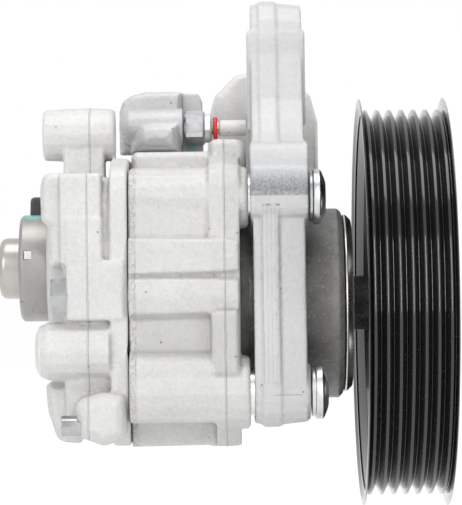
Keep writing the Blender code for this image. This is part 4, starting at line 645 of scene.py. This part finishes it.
def gloss_paint(name, colour):
    finish = Finish(name, colour, 0.16, 0.0, coat=0.35, specular=0.45)
    scuffs = finish.step(finish.noise(0.00035, 2.0, 0.7, ring_space(finish)), 0.62, 0.80)
    dust = finish.step(finish.noise(0.0007, 1.0), 0.70, 0.76)
    finish.tint(dust * 0.10, DUST)
    finish.bump(finish.noise(0.0016), 0.00001)
    finish.roughness = 0.14 + scuffs * 0.25 + dust * 0.3
    return finish.done()


def moulded(name, colour, roughness, texture=0.00003):
    """Plastic or rubber: one colour, slightly clouded, with a fine moulded texture."""
    finish = Finish(name, colour, roughness, 0.0, specular=0.4)
    clouds = finish.noise(0.003, 3.0, 0.6)
    finish.tint(finish.step(clouds, 0.35, 0.70), tuple(min(1.0, part * 1.5 + 0.01) for part in colour))
    finish.bump(finish.noise(0.0003, 2.0, 0.6), texture)
    finish.roughness = roughness + (clouds - 0.5) * 0.2
    return finish.done()


finishes["black_paint"] = gloss_paint("gloss_black", (0.012, 0.012, 0.013))
finishes["black_plastic"] = moulded("black_plastic", (0.055, 0.055, 0.056), 0.50)
finishes["red_rubber"] = moulded("red_rubber", (0.62, 0.035, 0.025), 0.42, 0.00001)
finishes["black_rubber"] = moulded("black_rubber", (0.018, 0.018, 0.018), 0.62)
print("finishes:", ", ".join(sorted(finishes)))

# %% [markdown]
# ## Castings with their roundings
# In a casting every edge and every inner corner is rounded, since metal won't fill or leave a sharp die. The plain
# solid has straight chamfers. It is measured out in small cubes (a voxel remesh), the surface round them is
# smoothed, and what comes out has all of its corners rounded alike. A surface that is round on the real piece but
# made of flats in the solid is pushed out to its true radius in between.

# %% Rounding a casting
VOXEL = 0.00052
FLAT_SHARE = 0.020
OVER_SHARE = 0.004
SLACK = 0.0001
FACING_OUT = 0.93


def evaluated(piece):
    """The piece's mesh with its modifiers done. The piece itself is removed."""
    graph = bpy.context.evaluated_depsgraph_get()
    mesh = bpy.data.meshes.new_from_object(piece.evaluated_get(graph))
    bpy.data.objects.remove(piece, do_unlink=True)
    return mesh


def true_up(mesh, centre, radius, low, high):
    """Moves the vertices near a cylinder along X onto it, where the surface faces away from its axis."""
    spots = numpy.empty(len(mesh.vertices) * 3)
    facing = numpy.empty_like(spots)
    mesh.vertices.foreach_get("co", spots)
    mesh.vertices.foreach_get("normal", facing)
    spots, facing = spots.reshape(-1, 3), facing.reshape(-1, 3)
    arms = spots[:, 1:] - numpy.array(centre)
    reach = numpy.hypot(arms[:, 0], arms[:, 1]) + 1e-9
    radial = (facing[:, 1:] * arms).sum(axis=1) / reach
    chosen = (
        (spots[:, 0] > low) & (spots[:, 0] < high) & (radial > FACING_OUT)
        & (reach < radius * (1.0 + OVER_SHARE) + SLACK) & (reach > radius * (1.0 - FLAT_SHARE) - SLACK)
    )
    spots[chosen, 1:] = numpy.array(centre) + arms[chosen] * (radius / reach[chosen])[:, None]
    mesh.vertices.foreach_set("co", spots.ravel())
    mesh.update()


def soften(node, voxel=VOXEL, rounds=2, keep=0.50, cylinder=None, lowest=-1.0):
    """The solid's surface with its corners rounded, and with a share of its faces kept.

    What hangs below lowest is pressed up to it first. A cylinder (centre, radius, low, high) is trued up.
    """
    start = to_mesh(node + "_start", merged(node))
    for v in start.vertices:
        v.co.z = max(v.co.z, lowest)
    piece = link(node + "_start", start)
    remesh = piece.modifiers.new("cubes", "REMESH")
    remesh.mode = "VOXEL"
    remesh.voxel_size = voxel
    remesh.adaptivity = 0.0
    mesh = evaluated(piece)
    if cylinder:
        true_up(mesh, *cylinder)
    piece = link(node + "_soft", mesh)
    smooth = piece.modifiers.new("smooth", "SMOOTH")
    smooth.factor = 0.5
    smooth.iterations = rounds
    if keep < 1.0:
        piece.modifiers.new("fewer", "DECIMATE").ratio = keep
    mesh = evaluated(piece)
    mesh.shade_smooth()
    return mesh


print("castings are measured in cubes of", VOXEL * 1000, "mm")

# %% [markdown]
# ## The front housing
# The largest casting holds the shaft's bearing in its neck. In the photograph the rim round its front is flush
# with its underside, so what hangs lower in the solid is pressed up. The pocket on its near side and the lug
# beside it get a patch of painted shade, as they are darker in the photograph than the even light of this scene
# leaves them, and the neck carries painted shade along it.

# %% The front housing
NECK_RADIUS = 0.0280
NECK_LENGTH = 0.0305
NECK = ((0.0, 0.0), NECK_RADIUS, -0.0600, -0.0296)
NECK_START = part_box("front_housing")[1][0] - NECK_LENGTH
SHOULDER_RADIUS = 0.0325
UNDERSIDE = -0.0406
POCKET = (-0.0892, -0.0687, -0.0128, -0.0032)
SIDE_LUG = (-0.0674, -0.0598, -0.0197, -0.0008)
housing_finish = cast_finish("housing_cast", rough_band=(-0.0915, -0.0900), details=[
    parting_line(-0.0645),
    turned_neck(NECK_START, NECK_LENGTH, SHOULDER_RADIUS),
    # painted shade on the pocket and on the side lug
    painted_shade_patch(*POCKET, 0.26),
    painted_shade_patch(*SIDE_LUG, 0.34),
])
housing_mesh = soften("front_housing", cylinder=NECK, lowest=UNDERSIDE)
show("housing_casting", housing_mesh, "front_housing", housing_finish)
print("housing:", triangles(housing_mesh))

# %% [markdown]
# ## The rear cover
# The cover closes the pump from behind. Its metal is a little paler, and its rearmost faces are milled flat.

# %% The rear cover
REAR_FACE = -0.1173
MILLED_DEPTH = 0.0003
cover_finish = cast_finish(
    "cover_cast", (0.77, 0.765, 0.755), (0.58, 0.575, 0.565),
    details=[parting_line(-0.1035), faced_flat("x", REAR_FACE + MILLED_DEPTH, -1)],
)
cover_mesh = soften("rear_cover")
show("cover_casting", cover_mesh, "rear_cover", cover_finish)
print("cover:", triangles(cover_mesh))

# %% [markdown]
# ## The bracket
# The bracket is seen on its trimmed edge, with a thin raised rib along it, a turned band round its upper boss and
# a milled pad on its far arm. The rib stands out by a fifth of a millimetre, so it is made in the mesh: the
# vertices between its ends are lifted.

# %% The bracket
RIB_LINES = (-0.0535, -0.0524, -0.0511, -0.0499, -0.0488)
RIB_LOW = -0.0217
RIB_HIGH = 0.0284
RIB_LIFT = 0.00022
BAND_LOW = 0.0312
BAND_HIGH = 0.0419


def raise_rib(mesh, low, high, lift):
    """Lifts the near side of the mesh by lift between two corners given as (x, z)."""
    lifted = 0
    for v in mesh.vertices:
        inside = low[0] < v.co.x < high[0] and low[1] < v.co.z < high[1]
        if inside and v.co.y < 0 and v.normal.y < -0.8:
            v.co.y -= lift
            lifted += 1
    return lifted


bracket_finish = cast_finish(
    "bracket_cast", (0.66, 0.66, 0.665), (0.54, 0.54, 0.545),
    details=[
        scribed_strip(RIB_LOW, RIB_HIGH, RIB_LINES), scribed_line(-0.0251, -0.0508, -0.0430),
        turned_band(BAND_LOW, BAND_HIGH), painted_light_beyond(-0.010),
        faced_flat("y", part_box("mounting_bracket")[1][1] - MILLED_DEPTH, 1),
    ],
)
bracket_mesh = soften("mounting_bracket")
lifted = raise_rib(bracket_mesh, (RIB_LINES[0], RIB_LOW), (RIB_LINES[-1], RIB_HIGH), RIB_LIFT)
show("bracket_casting", bracket_mesh, "mounting_bracket", bracket_finish)
print("bracket:", triangles(bracket_mesh), "vertices of its rib:", lifted)

# %% [markdown]
# ## The elbow
# The elbow is small and was tumbled, so its skin is smoother and its edges rounder. Smaller cubes and more rounds
# of smoothing make them. It carries the inspector's dab.

# %% The elbow
ELBOW_VOXEL = 0.00036
elbow_finish = cast_finish(
    "elbow_cast", (0.60, 0.60, 0.61), (0.48, 0.48, 0.49), metallic=0.42,
    details=[tumbled(0.12), paint_dab((-0.0740, 0.0196, 0.0469), 0.0015)],
)
elbow_mesh = soften("inlet_elbow", ELBOW_VOXEL, rounds=7, keep=1.0)
show("elbow_casting", elbow_mesh, "inlet_elbow", elbow_finish)
print("elbow:", triangles(elbow_mesh))

# %% [markdown]
# ## Turned pieces
# A turned piece is a half-section spun round its axis. The half-section is read from the solid: its corners that
# lie in the plane below the axis, linked as the solid links them, and closed across the flat ends. Each corner
# is rounded a little, as a deburred corner is, and the outline is spun in fine steps.

# %% The half-section of a turned piece
PLANE = 1e-5
CORNER = 0.0003
SHARPEST_KEPT = 20.0
SIDE_SHARE = 0.42
ARC_STEPS = 3


def half_section(node, centre):
    """The loop of (x, radius) in which the plane below the axis cuts a turned solid."""
    bm = merged(node)
    spots = {
        v.index: (v.co.x, centre[1] - v.co.z) for v in bm.verts
        if abs(v.co.y - centre[0]) < PLANE and v.co.z < centre[1] + PLANE
    }
    links = {k: set() for k in spots}
    for edge in bm.edges:
        a, b = (v.index for v in edge.verts)
        if a in spots and b in spots:
            links[a].add(b)
            links[b].add(a)
    bm.free()
    return close_loop(spots, links)


def close_loop(spots, links):
    """Closes the open ends across the flat faces: ends at one x are joined in pairs, and an odd one to the axis."""
    ends = {}
    for k, others in links.items():
        if len(others) == 1:
            ends.setdefault(round(spots[k][0], 5), []).append(k)
    for place, group in ends.items():
        group.sort(key=lambda k: -spots[k][1])
        if len(group) % 2:
            axis = ("axis", place)
            spots[axis] = (place, 0.0)
            links[axis] = set()
            group.append(axis)
        for a, b in zip(group[::2], group[1::2]):
            links[a].add(b)
            links[b].add(a)
    start = max((k for k in links if links[k]), key=lambda k: spots[k])
    for k in links:
        if isinstance(k, tuple):
            start = k
    loop = [start]
    before = None
    while True:
        onward = [
            k for k in links[loop[-1]]
            if k != before and (k not in loop or k == loop[0] and len(loop) > 2)
        ]
        if not onward or onward[0] == loop[0]:
            break
        before = loop[-1]
        loop.append(onward[0])
    return [Vector(spots[k]) for k in loop]


def rounded(loop, radius, is_open):
    """The outline with an arc in place of each corner."""
    points = []
    count = len(loop)
    for i, corner in enumerate(loop):
        if is_open and i in (0, count - 1):
            points.append(corner)
            continue
        back = loop[i - 1] - corner
        on = loop[(i + 1) % count] - corner
        turn = degrees(back.angle(-on, 0.0))
        if turn < SHARPEST_KEPT:
            points.append(corner)
            continue
        cut = min(radius * tan(radians(turn) / 2), SIDE_SHARE * back.length, SIDE_SHARE * on.length)
        first, last = corner + back.normalized() * cut, corner + on.normalized() * cut
        for k in range(ARC_STEPS + 1):
            t = k / ARC_STEPS
            points.append(first * (1 - t) ** 2 + corner * 2 * t * (1 - t) + last * t ** 2)
    return points


def spun(name, outline, centre, steps=96, is_open=False):
    """A mesh of revolution about an axis along X."""
    bm = bmesh.new()
    spots = [bm.verts.new((p.x, centre[0], centre[1] - max(p.y, 0.0))) for p in outline]
    edges = [bm.edges.new((a, b)) for a, b in zip(spots, spots[1:])]
    if not is_open:
        edges.append(bm.edges.new((spots[-1], spots[0])))
    bmesh.ops.spin(bm, geom=spots + edges, cent=(0.0, *centre), axis=(1.0, 0.0, 0.0), angle=2 * pi, steps=steps,
                   use_merge=True, use_duplicate=False)
    bmesh.ops.remove_doubles(bm, verts=bm.verts, dist=1e-7)
    return to_mesh(name, bm)


def turned_mesh(node, centre=(0.0, 0.0), radius=CORNER, steps=96):
    """The solid's half-section, rounded and spun."""
    loop = half_section(node, centre)
    on_axis = loop[0].y < PLANE and loop[-1].y < PLANE
    return spun(node + "_turned", rounded(loop, radius, on_axis), centre, steps, on_axis)


print("corners of the shaft's half-section:", len(half_section("drive_shaft", (0.0, 0.0))))

# %% [markdown]
# ## Shaft, rings and the solenoid's inside
# Shaft and rings come off a lathe, seals are moulded and the coil is wound, but all of them are round, so one recipe
# makes them. The ring at the end of the neck has a wide polished edge, and the solenoid has an axis of its own.

# %% Shaft, rings and the solenoid's inside
turned_pieces = {
    "drive_shaft": {}, "bearing_outer_ring": {}, "bearing_inner_ring": {},
    "bearing_retainer_ring": {"radius": 0.0009},
    "shaft_seal": {}, "rear_bush": {}, "pressure_plate_seal": {}, "pulley_hub": {},
    "solenoid_coil": {"centre": CAN_CENTRE}, "solenoid_core_tube": {"centre": CAN_CENTRE, "radius": 0.0006},
    "solenoid_armature": {"centre": CAN_CENTRE},
}
own_finish = {"pulley_hub": hub_steel_painted_light, "bearing_retainer_ring": ring_steel, "solenoid_core_tube": nose_steel}
for node, settings in turned_pieces.items():
    mesh = turned_mesh(node, **settings)
    show(node + "_shown", mesh, node, finish=own_finish.get(node))
    print(node, triangles(mesh))

# %% [markdown]
# ## The pulley
# The pulley carries a ribbed belt. Its rim is turned, so the solid's half-section is spun in fine steps with small
# roundings on the ridges. The four round holes in the web, which let air and tools through, are cut afterwards.

# %% The pulley
PULLEY_STEPS = 160
WEB_HOLE_RADIUS = 0.0060
WEB_HOLE_RING = 0.0330
WEB_HOLES = 4


def ring_place(radius, angle):
    """A place on a ring about the shaft, counted from +Y towards +Z."""
    return (radius * cos(radians(angle)), radius * sin(radians(angle)))


def cut_with(piece, cutter):
    """The mesh of the piece with the cutter's mesh taken away. Both objects are removed."""
    change = piece.modifiers.new("cut", "BOOLEAN")
    change.operation = "DIFFERENCE"
    change.solver = "EXACT"
    change.object = cutter
    mesh = evaluated(piece)
    bpy.data.objects.remove(cutter, do_unlink=True)
    return mesh


def rods_mesh(name, places, radius, low, high, steps=32, turn=0.0):
    """Rods or prisms along X at the given places, as one mesh."""
    bm = bmesh.new()
    for y, z in places:
        ring = [(y + radius * cos(turn + 2 * pi * k / steps), z + radius * sin(turn + 2 * pi * k / steps))
                for k in range(steps)]
        rear = [bm.verts.new((low, *p)) for p in ring]
        front = [bm.verts.new((high, *p)) for p in ring]
        bm.faces.new(rear)
        bm.faces.new(front)
        for k in range(steps):
            bm.faces.new((rear[k - 1], rear[k], front[k], front[k - 1]))
    return to_mesh(name, bm)


def make_pulley():
    piece = link("pulley_blank", turned_mesh("pulley", radius=0.00014, steps=PULLEY_STEPS))
    low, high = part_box("pulley")
    places = [ring_place(WEB_HOLE_RING, 45.0 + 360.0 * k / WEB_HOLES) for k in range(WEB_HOLES)]
    holes = link("web_holes", rods_mesh("web_holes", places, WEB_HOLE_RADIUS, low[0] - 0.001, high[0] + 0.001))
    mesh = cut_with(piece, holes)
    mesh.set_sharp_from_angle(angle=radians(40))
    return mesh


pulley_mesh = make_pulley()
show("pulley_rim", pulley_mesh, "pulley")
print("pulley:", triangles(pulley_mesh))

# %% [markdown]
# ## Bolts and small turned pieces
# The bracket's bolts have a flange, a domed head and a hexagon socket for a key. The cover's bolts are plain hexagon
# heads, whose corners are chamfered by a cone: the hexagon is cut to the shape that the two have in common.

# %% Bolts and small turned pieces
SOCKET_RADIUS = 0.0034
SOCKET_DEPTH = 0.0036
HEX_HEAD_RADIUS = 0.0056
HEX_HEAD_LENGTH = 0.0048
HEX_STEPS = 72
CONE_BITE = 0.0002
SHANK_RADIUS = 0.0030
SMALL_STEPS = 64
COVER_BOLTS = 4
BOLT_RING = 0.0418
BOLT_ANGLES = (132.0, 216.0, 349.0)
UNION_CENTRE = (0.0140, 0.0528)


def node_centre(node):
    """The middle of a solid's box across the X axis."""
    low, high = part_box(node)
    return ((low[1] + high[1]) / 2, (low[2] + high[2]) / 2)


def make_bracket_bolt(i):
    node = f"bracket_bolt_{i}"
    centre = ring_place(BOLT_RING, BOLT_ANGLES[i - 1])
    piece = link(node + "_blank", turned_mesh(node, centre, 0.0004, SMALL_STEPS))
    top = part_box(node)[1][0]
    socket = rods_mesh("socket", [centre], SOCKET_RADIUS, top - SOCKET_DEPTH, top + 0.002, 6, radians(15))
    return cut_with(piece, link("socket", socket))


def make_hex_head(name, centre, radius, low, high, turn=0.0, chamfer=0.0009, both=False):
    """A hexagon prism along X with its corners taken off by a cone at the low end, or at both."""
    bm = bmesh.new()
    inner = radius * cos(pi / 6)
    rings = []
    spread = [(low, inner - CONE_BITE), (low + chamfer, radius), (high - (chamfer if both else 0.0), radius)]
    if both:
        spread.append((high, inner - CONE_BITE))
    for x, reach in spread:
        ring = []
        for k in range(HEX_STEPS):
            angle = turn + 2 * pi * k / HEX_STEPS
            flat = (angle - turn) % (pi / 3) - pi / 6
            edge = min(reach, inner / cos(flat))
            ring.append(bm.verts.new((x, centre[0] + edge * cos(angle), centre[1] + edge * sin(angle))))
        rings.append(ring)
    for a, b in zip(rings, rings[1:]):
        for k in range(HEX_STEPS):
            bm.faces.new((a[k - 1], a[k], b[k], b[k - 1]))
    bm.faces.new(rings[0])
    bm.faces.new(rings[-1])
    return to_mesh(name, bm, 25.0)


def joined(name, *meshes):
    """One mesh made of several."""
    bm = bmesh.new()
    for mesh in meshes:
        bm.from_mesh(mesh)
    made = bpy.data.meshes.new(name)
    bm.to_mesh(made)
    bm.free()
    return made


for i in range(1, 4):
    show(f"bracket_bolt_{i}_shown", make_bracket_bolt(i), f"bracket_bolt_{i}")
    node = f"locating_sleeve_{i}"
    show(node + "_shown", turned_mesh(node, ring_place(BOLT_RING, BOLT_ANGLES[i - 1]), 0.0002, SMALL_STEPS), node)
for i in range(1, COVER_BOLTS + 1):
    node = f"cover_bolt_{i}"
    low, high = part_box(node)
    centre = node_centre(node)
    seat = low[0] + HEX_HEAD_LENGTH
    head = make_hex_head(node + "_head", centre, HEX_HEAD_RADIUS, low[0], seat)
    corners = ((high[0], 0.0), (high[0], SHANK_RADIUS), (seat, SHANK_RADIUS), (seat, 0.0))
    outline = rounded([Vector(corner) for corner in corners], 0.0005, True)
    shank = spun(node + "_shank", outline, centre, 32, True)
    show(node + "_shown", joined(node + "_shown", head, shank), node, finish=bolt_steel)
for node in ("dowel_pin_1", "dowel_pin_2", "channel_plug", "flow_spool", "return_pipe_stub", "union_seal_ring"):
    centre = UNION_CENTRE if node in ("return_pipe_stub", "union_seal_ring") else node_centre(node)
    finish = {"return_pipe_stub": pipe_skin, "channel_plug": bolt_steel}.get(node)
    show(node + "_shown", turned_mesh(node, centre, CORNER, SMALL_STEPS), node, finish=finish)
print("bolts and pins are in place")

# %% [markdown]
# ## Blocks and wires
# The solenoid and the springs need a block between two corners and a wire. A wire is a ring of points carried along
# a line and turned as little as possible on the way, so that it doesn't twist. A spline puts more points between
# the given ones, so that the wire bends smoothly.

# %% Blocks and wires


def block_mesh(name, low, high):
    bm = bmesh.new()
    bmesh.ops.create_cube(bm, size=1.0)
    for v in bm.verts:
        v.co = Vector([low[k] if v.co[k] < 0 else high[k] for k in range(3)])
    return to_mesh(name, bm)


def tube_along(name, points, radius, sides=8):
    """A round wire through the points."""
    bm = bmesh.new()
    rings = []
    count = len(points)
    normal = None
    for i, point in enumerate(points):
        ahead = points[min(i + 1, count - 1)] - points[max(i - 1, 0)]
        ahead.normalize()
        if normal is None:
            normal = ahead.orthogonal().normalized()
        normal = (normal - ahead * normal.dot(ahead)).normalized()
        side = ahead.cross(normal)
        turns = [2 * pi * k / sides for k in range(sides)]
        rings.append([bm.verts.new(point + radius * (cos(t) * normal + sin(t) * side)) for t in turns])
    for a, b in zip(rings, rings[1:]):
        for k in range(sides):
            bm.faces.new((a[k - 1], a[k], b[k], b[k - 1]))
    bm.faces.new(rings[0])
    bm.faces.new(rings[-1])
    return to_mesh(name, bm, 60.0)


def smooth_line(points, steps=6):
    """More points along a line, by a spline that passes through all of them."""
    dense = []
    for i in range(len(points) - 1):
        before = points[max(i - 1, 0)]
        after = points[min(i + 2, len(points) - 1)]
        a, b = points[i], points[i + 1]
        for k in range(steps):
            t = k / steps
            dense.append(0.5 * (2 * a + (b - before) * t + (2 * before - 5 * a + 4 * b - after) * t ** 2
                                + (3 * a - before - 3 * b + after) * t ** 3))
    return dense + [points[-1]]


print("block and wire helpers are ready")

# %% [markdown]
# ## The solenoid
# The can is a drawn steel cup pressed together along a wavy, interlocking seam, with a small square window in its
# side. The window is cut out of the spun cup. The seam is laid on the cup as a fine dark wire, along a line with
# the outline of a dovetail, which is the joint and its painted shadow, and a thinner dark wire borders the window
# as painted shade of its side walls.

# %% The solenoid
CAN_RADIUS = 0.01575
WINDOW_LOW = (-0.1232, 0.0140)
WINDOW_HIGH = (-0.1207, 0.0165)
WINDOW_DEPTH = 0.0007
WINDOW_SHADE_WIRE = 0.00016
SEAM_WIRE = 0.00011
SEAM_SUNK = 0.00005
SEAM = (
    (-0.1245, 0.0018), (-0.1226, 0.0012), (-0.1216, 0.0019), (-0.1204, 0.0021), (-0.1197, 0.0012), (-0.1203, 0.0001),
    (-0.1211, -0.0007), (-0.1204, -0.0015), (-0.1190, -0.0014), (-0.1172, -0.0018), (-0.1150, -0.0020),
)


def can_near_side(z, radius=CAN_RADIUS):
    """The y of the near side of a cylinder about the can's axis, at a height."""
    return -sqrt(radius ** 2 - (z - CAN_CENTRE[1]) ** 2)


def lay_wire(name, points, radius, sides=8):
    """A thin dark wire that lies on the can and stands for no solid: painted shadow along the seam and painted shade
    round the window.
    """
    wire = link(name, tube_along(name, points, radius, sides))
    wire.data.materials.append(finishes["dark_steel"].material)
    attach(wire, "pump_body")


(left, low), (right, high) = WINDOW_LOW, WINDOW_HIGH
floor_y = can_near_side((low + high) / 2) + WINDOW_DEPTH
can_blank = link("can_blank", turned_mesh("solenoid_can", CAN_CENTRE, 0.0006, 128))
window = link("window", block_mesh("window", (left, -0.03, low), (right, floor_y, high)))
can_mesh = cut_with(can_blank, window)
can_mesh.set_sharp_from_angle(angle=radians(40))
can_mesh.materials.clear()
for slot in ("can_steel", "bright_steel"):
    can_mesh.materials.append(finishes[slot].material)
for face in can_mesh.polygons:
    x, y, z = face.center
    inside = left - WELD < x < right + WELD and low - WELD < z < high + WELD
    face.material_index = int(inside and abs(y - floor_y) < 0.0001 and abs(face.normal.y) > 0.98)
show("solenoid_can_shown", can_mesh, "solenoid_can")
border = [(left, low), (right, low), (right, high), (left, high), (left, low)]
# painted shade: a dark wire round the window for the shade in its side walls
lay_wire("window_shade_border", [Vector((x, can_near_side(z), z)) for x, z in border], WINDOW_SHADE_WIRE, 4)
seam = smooth_line([Vector((x, can_near_side(z, CAN_RADIUS - SEAM_SUNK), z)) for x, z in SEAM])
# the seam joint, drawn dark as painted shadow along it
lay_wire("can_seam_and_shadow", seam, SEAM_WIRE)
bright = sum(face.material_index for face in can_mesh.polygons)
print("can:", triangles(can_mesh), "faces on the floor of its window:", bright, "seam points:", len(seam))

# %% [markdown]
# ## The union
# The union screws into the elbow. It is a hexagon with its corners taken off at both ends, and a turned neck.

# %% The union
HEX_RADIUS = 0.0054
HEX_LENGTH = 0.0063
HEX_CHAMFER = 0.0007


def make_union():
    low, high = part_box("pressure_union")
    seat = low[0] + HEX_LENGTH
    head = make_hex_head("union_hex", UNION_CENTRE, HEX_RADIUS, low[0], seat, radians(30), HEX_CHAMFER, True)
    neck = [p for p in half_section("pressure_union", UNION_CENTRE) if p.x > seat - 0.0008]
    if neck[0].x < neck[-1].x:
        neck.reverse()
    neck = rounded([Vector((high[0], 0.0))] + neck + [Vector((neck[-1].x, 0.0))], 0.0002, True)
    return joined("union_shown", head, spun("union_neck", neck, UNION_CENTRE, SMALL_STEPS, True))


union_mesh = make_union()
show("union_shown", union_mesh, "pressure_union", union_plate)
print("union:", triangles(union_mesh))

# %% [markdown]
# ## The balls in their cage
# The ball bearing has true spheres between its rings. A pressed cage keeps them apart, here one ring that runs
# through all of them.

# %% The balls in their cage
BALLS = 8
BALL_SHARE = 0.27
INNER_RACE = 0.0085
CAGE_HALF_WIDTH = 0.0011
CAGE_HALF_HEIGHT = 0.0009


def make_cage():
    low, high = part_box("bearing_cage_with_balls")
    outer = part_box("bearing_outer_ring")[1][1]
    pitch = (outer + INNER_RACE) / 2
    ball = (outer - INNER_RACE) * BALL_SHARE
    middle = (low[0] + high[0]) / 2
    bm = bmesh.new()
    for k in range(BALLS):
        place = Matrix.Translation((middle, *ring_place(pitch, 360.0 / BALLS * k)))
        bmesh.ops.create_uvsphere(bm, u_segments=28, v_segments=18, radius=ball, matrix=place)
    balls = to_mesh("balls", bm)
    ring = [Vector((middle + x * CAGE_HALF_WIDTH, pitch + r * CAGE_HALF_HEIGHT))
            for x, r in ((1, -1), (1, 1), (-1, 1), (-1, -1))]
    return joined("cage_shown", balls, spun("cage_ring", rounded(ring, 0.0003, False), (0.0, 0.0)))


cage_mesh = make_cage()
show("cage_shown", cage_mesh, "bearing_cage_with_balls")
print("cage and balls:", triangles(cage_mesh))

# %% [markdown]
# ## The springs
# The two springs are wound wires whose end coils lie close.

# %% The springs
SPRINGS = (
    ("flow_spring", "flow_spool_slide", 0.0030, 7.0, 0.00045, 1),
    ("solenoid_spring", "armature_slide", 0.0025, 5.0, 0.00040, 0),
)
CLOSED_SHARE = 0.10


def make_spring(node, turns, wire, centre):
    """A closed-end helix that fills the solid's box."""
    low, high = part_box(node)
    start, end = low[0] + wire, high[0] - wire
    radius = (high[1] - low[1]) / 2 - wire
    steps = int(turns * 32)
    points = []
    for i in range(steps + 1):
        t = i / steps
        lay = min(1.0, max(0.0, (t - CLOSED_SHARE) / (1.0 - 2 * CLOSED_SHARE)))
        turn = 2 * pi * turns * t
        closed = wire * (min(t, CLOSED_SHARE) + max(t - (1.0 - CLOSED_SHARE), 0.0)) / CLOSED_SHARE
        x = start + closed + (end - start - 2 * wire) * lay
        points.append(Vector((min(x, end), centre[0] + radius * cos(turn), centre[1] + radius * sin(turn))))
    return tube_along(node + "_wire", points, wire, 10)


for node, joint, travel, turns, wire, end in SPRINGS:
    low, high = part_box(node)
    wound = show(node + "_wound", make_spring(node, turns, wire, node_centre(node)), node)
    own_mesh(wound)

# %% [markdown]
# ## Pieces that keep their solid
# Rotor, vanes, cam ring, plates and the other pieces inside are flat-sided and right as they are. They get their
# finish, and a fine bevel on every sharp edge, as ground pieces have. The bevel needs faces that share
# their corners, so a weld comes first.

# %% Pieces that keep their solid
BEVEL = 0.00015
CONNECTOR_BEVEL = 0.0004


def keep_solid(node, bevel=BEVEL):
    solid = solids[node]
    finish = finishes[slot_of[node]]
    if not solid.data.materials:
        solid.data.materials.append(finish.material)
    for k in range(len(solid.material_slots)):
        solid.material_slots[k].material = finish.material
    weld = solid.modifiers.new("weld", "WELD")
    weld.merge_threshold = WELD
    edge = solid.modifiers.new("edge", "BEVEL")
    edge.width = bevel
    edge.segments = 2
    edge.limit_method = "ANGLE"
    edge.angle_limit = radians(40)
    edge.use_clamp_overlap = True


kept = [node for node, solid in solids.items() if not solid.hide_render]
for node in kept:
    keep_solid(node, CONNECTOR_BEVEL if node == "solenoid_connector" else BEVEL)
print("kept:", ", ".join(kept))

# %% [markdown]
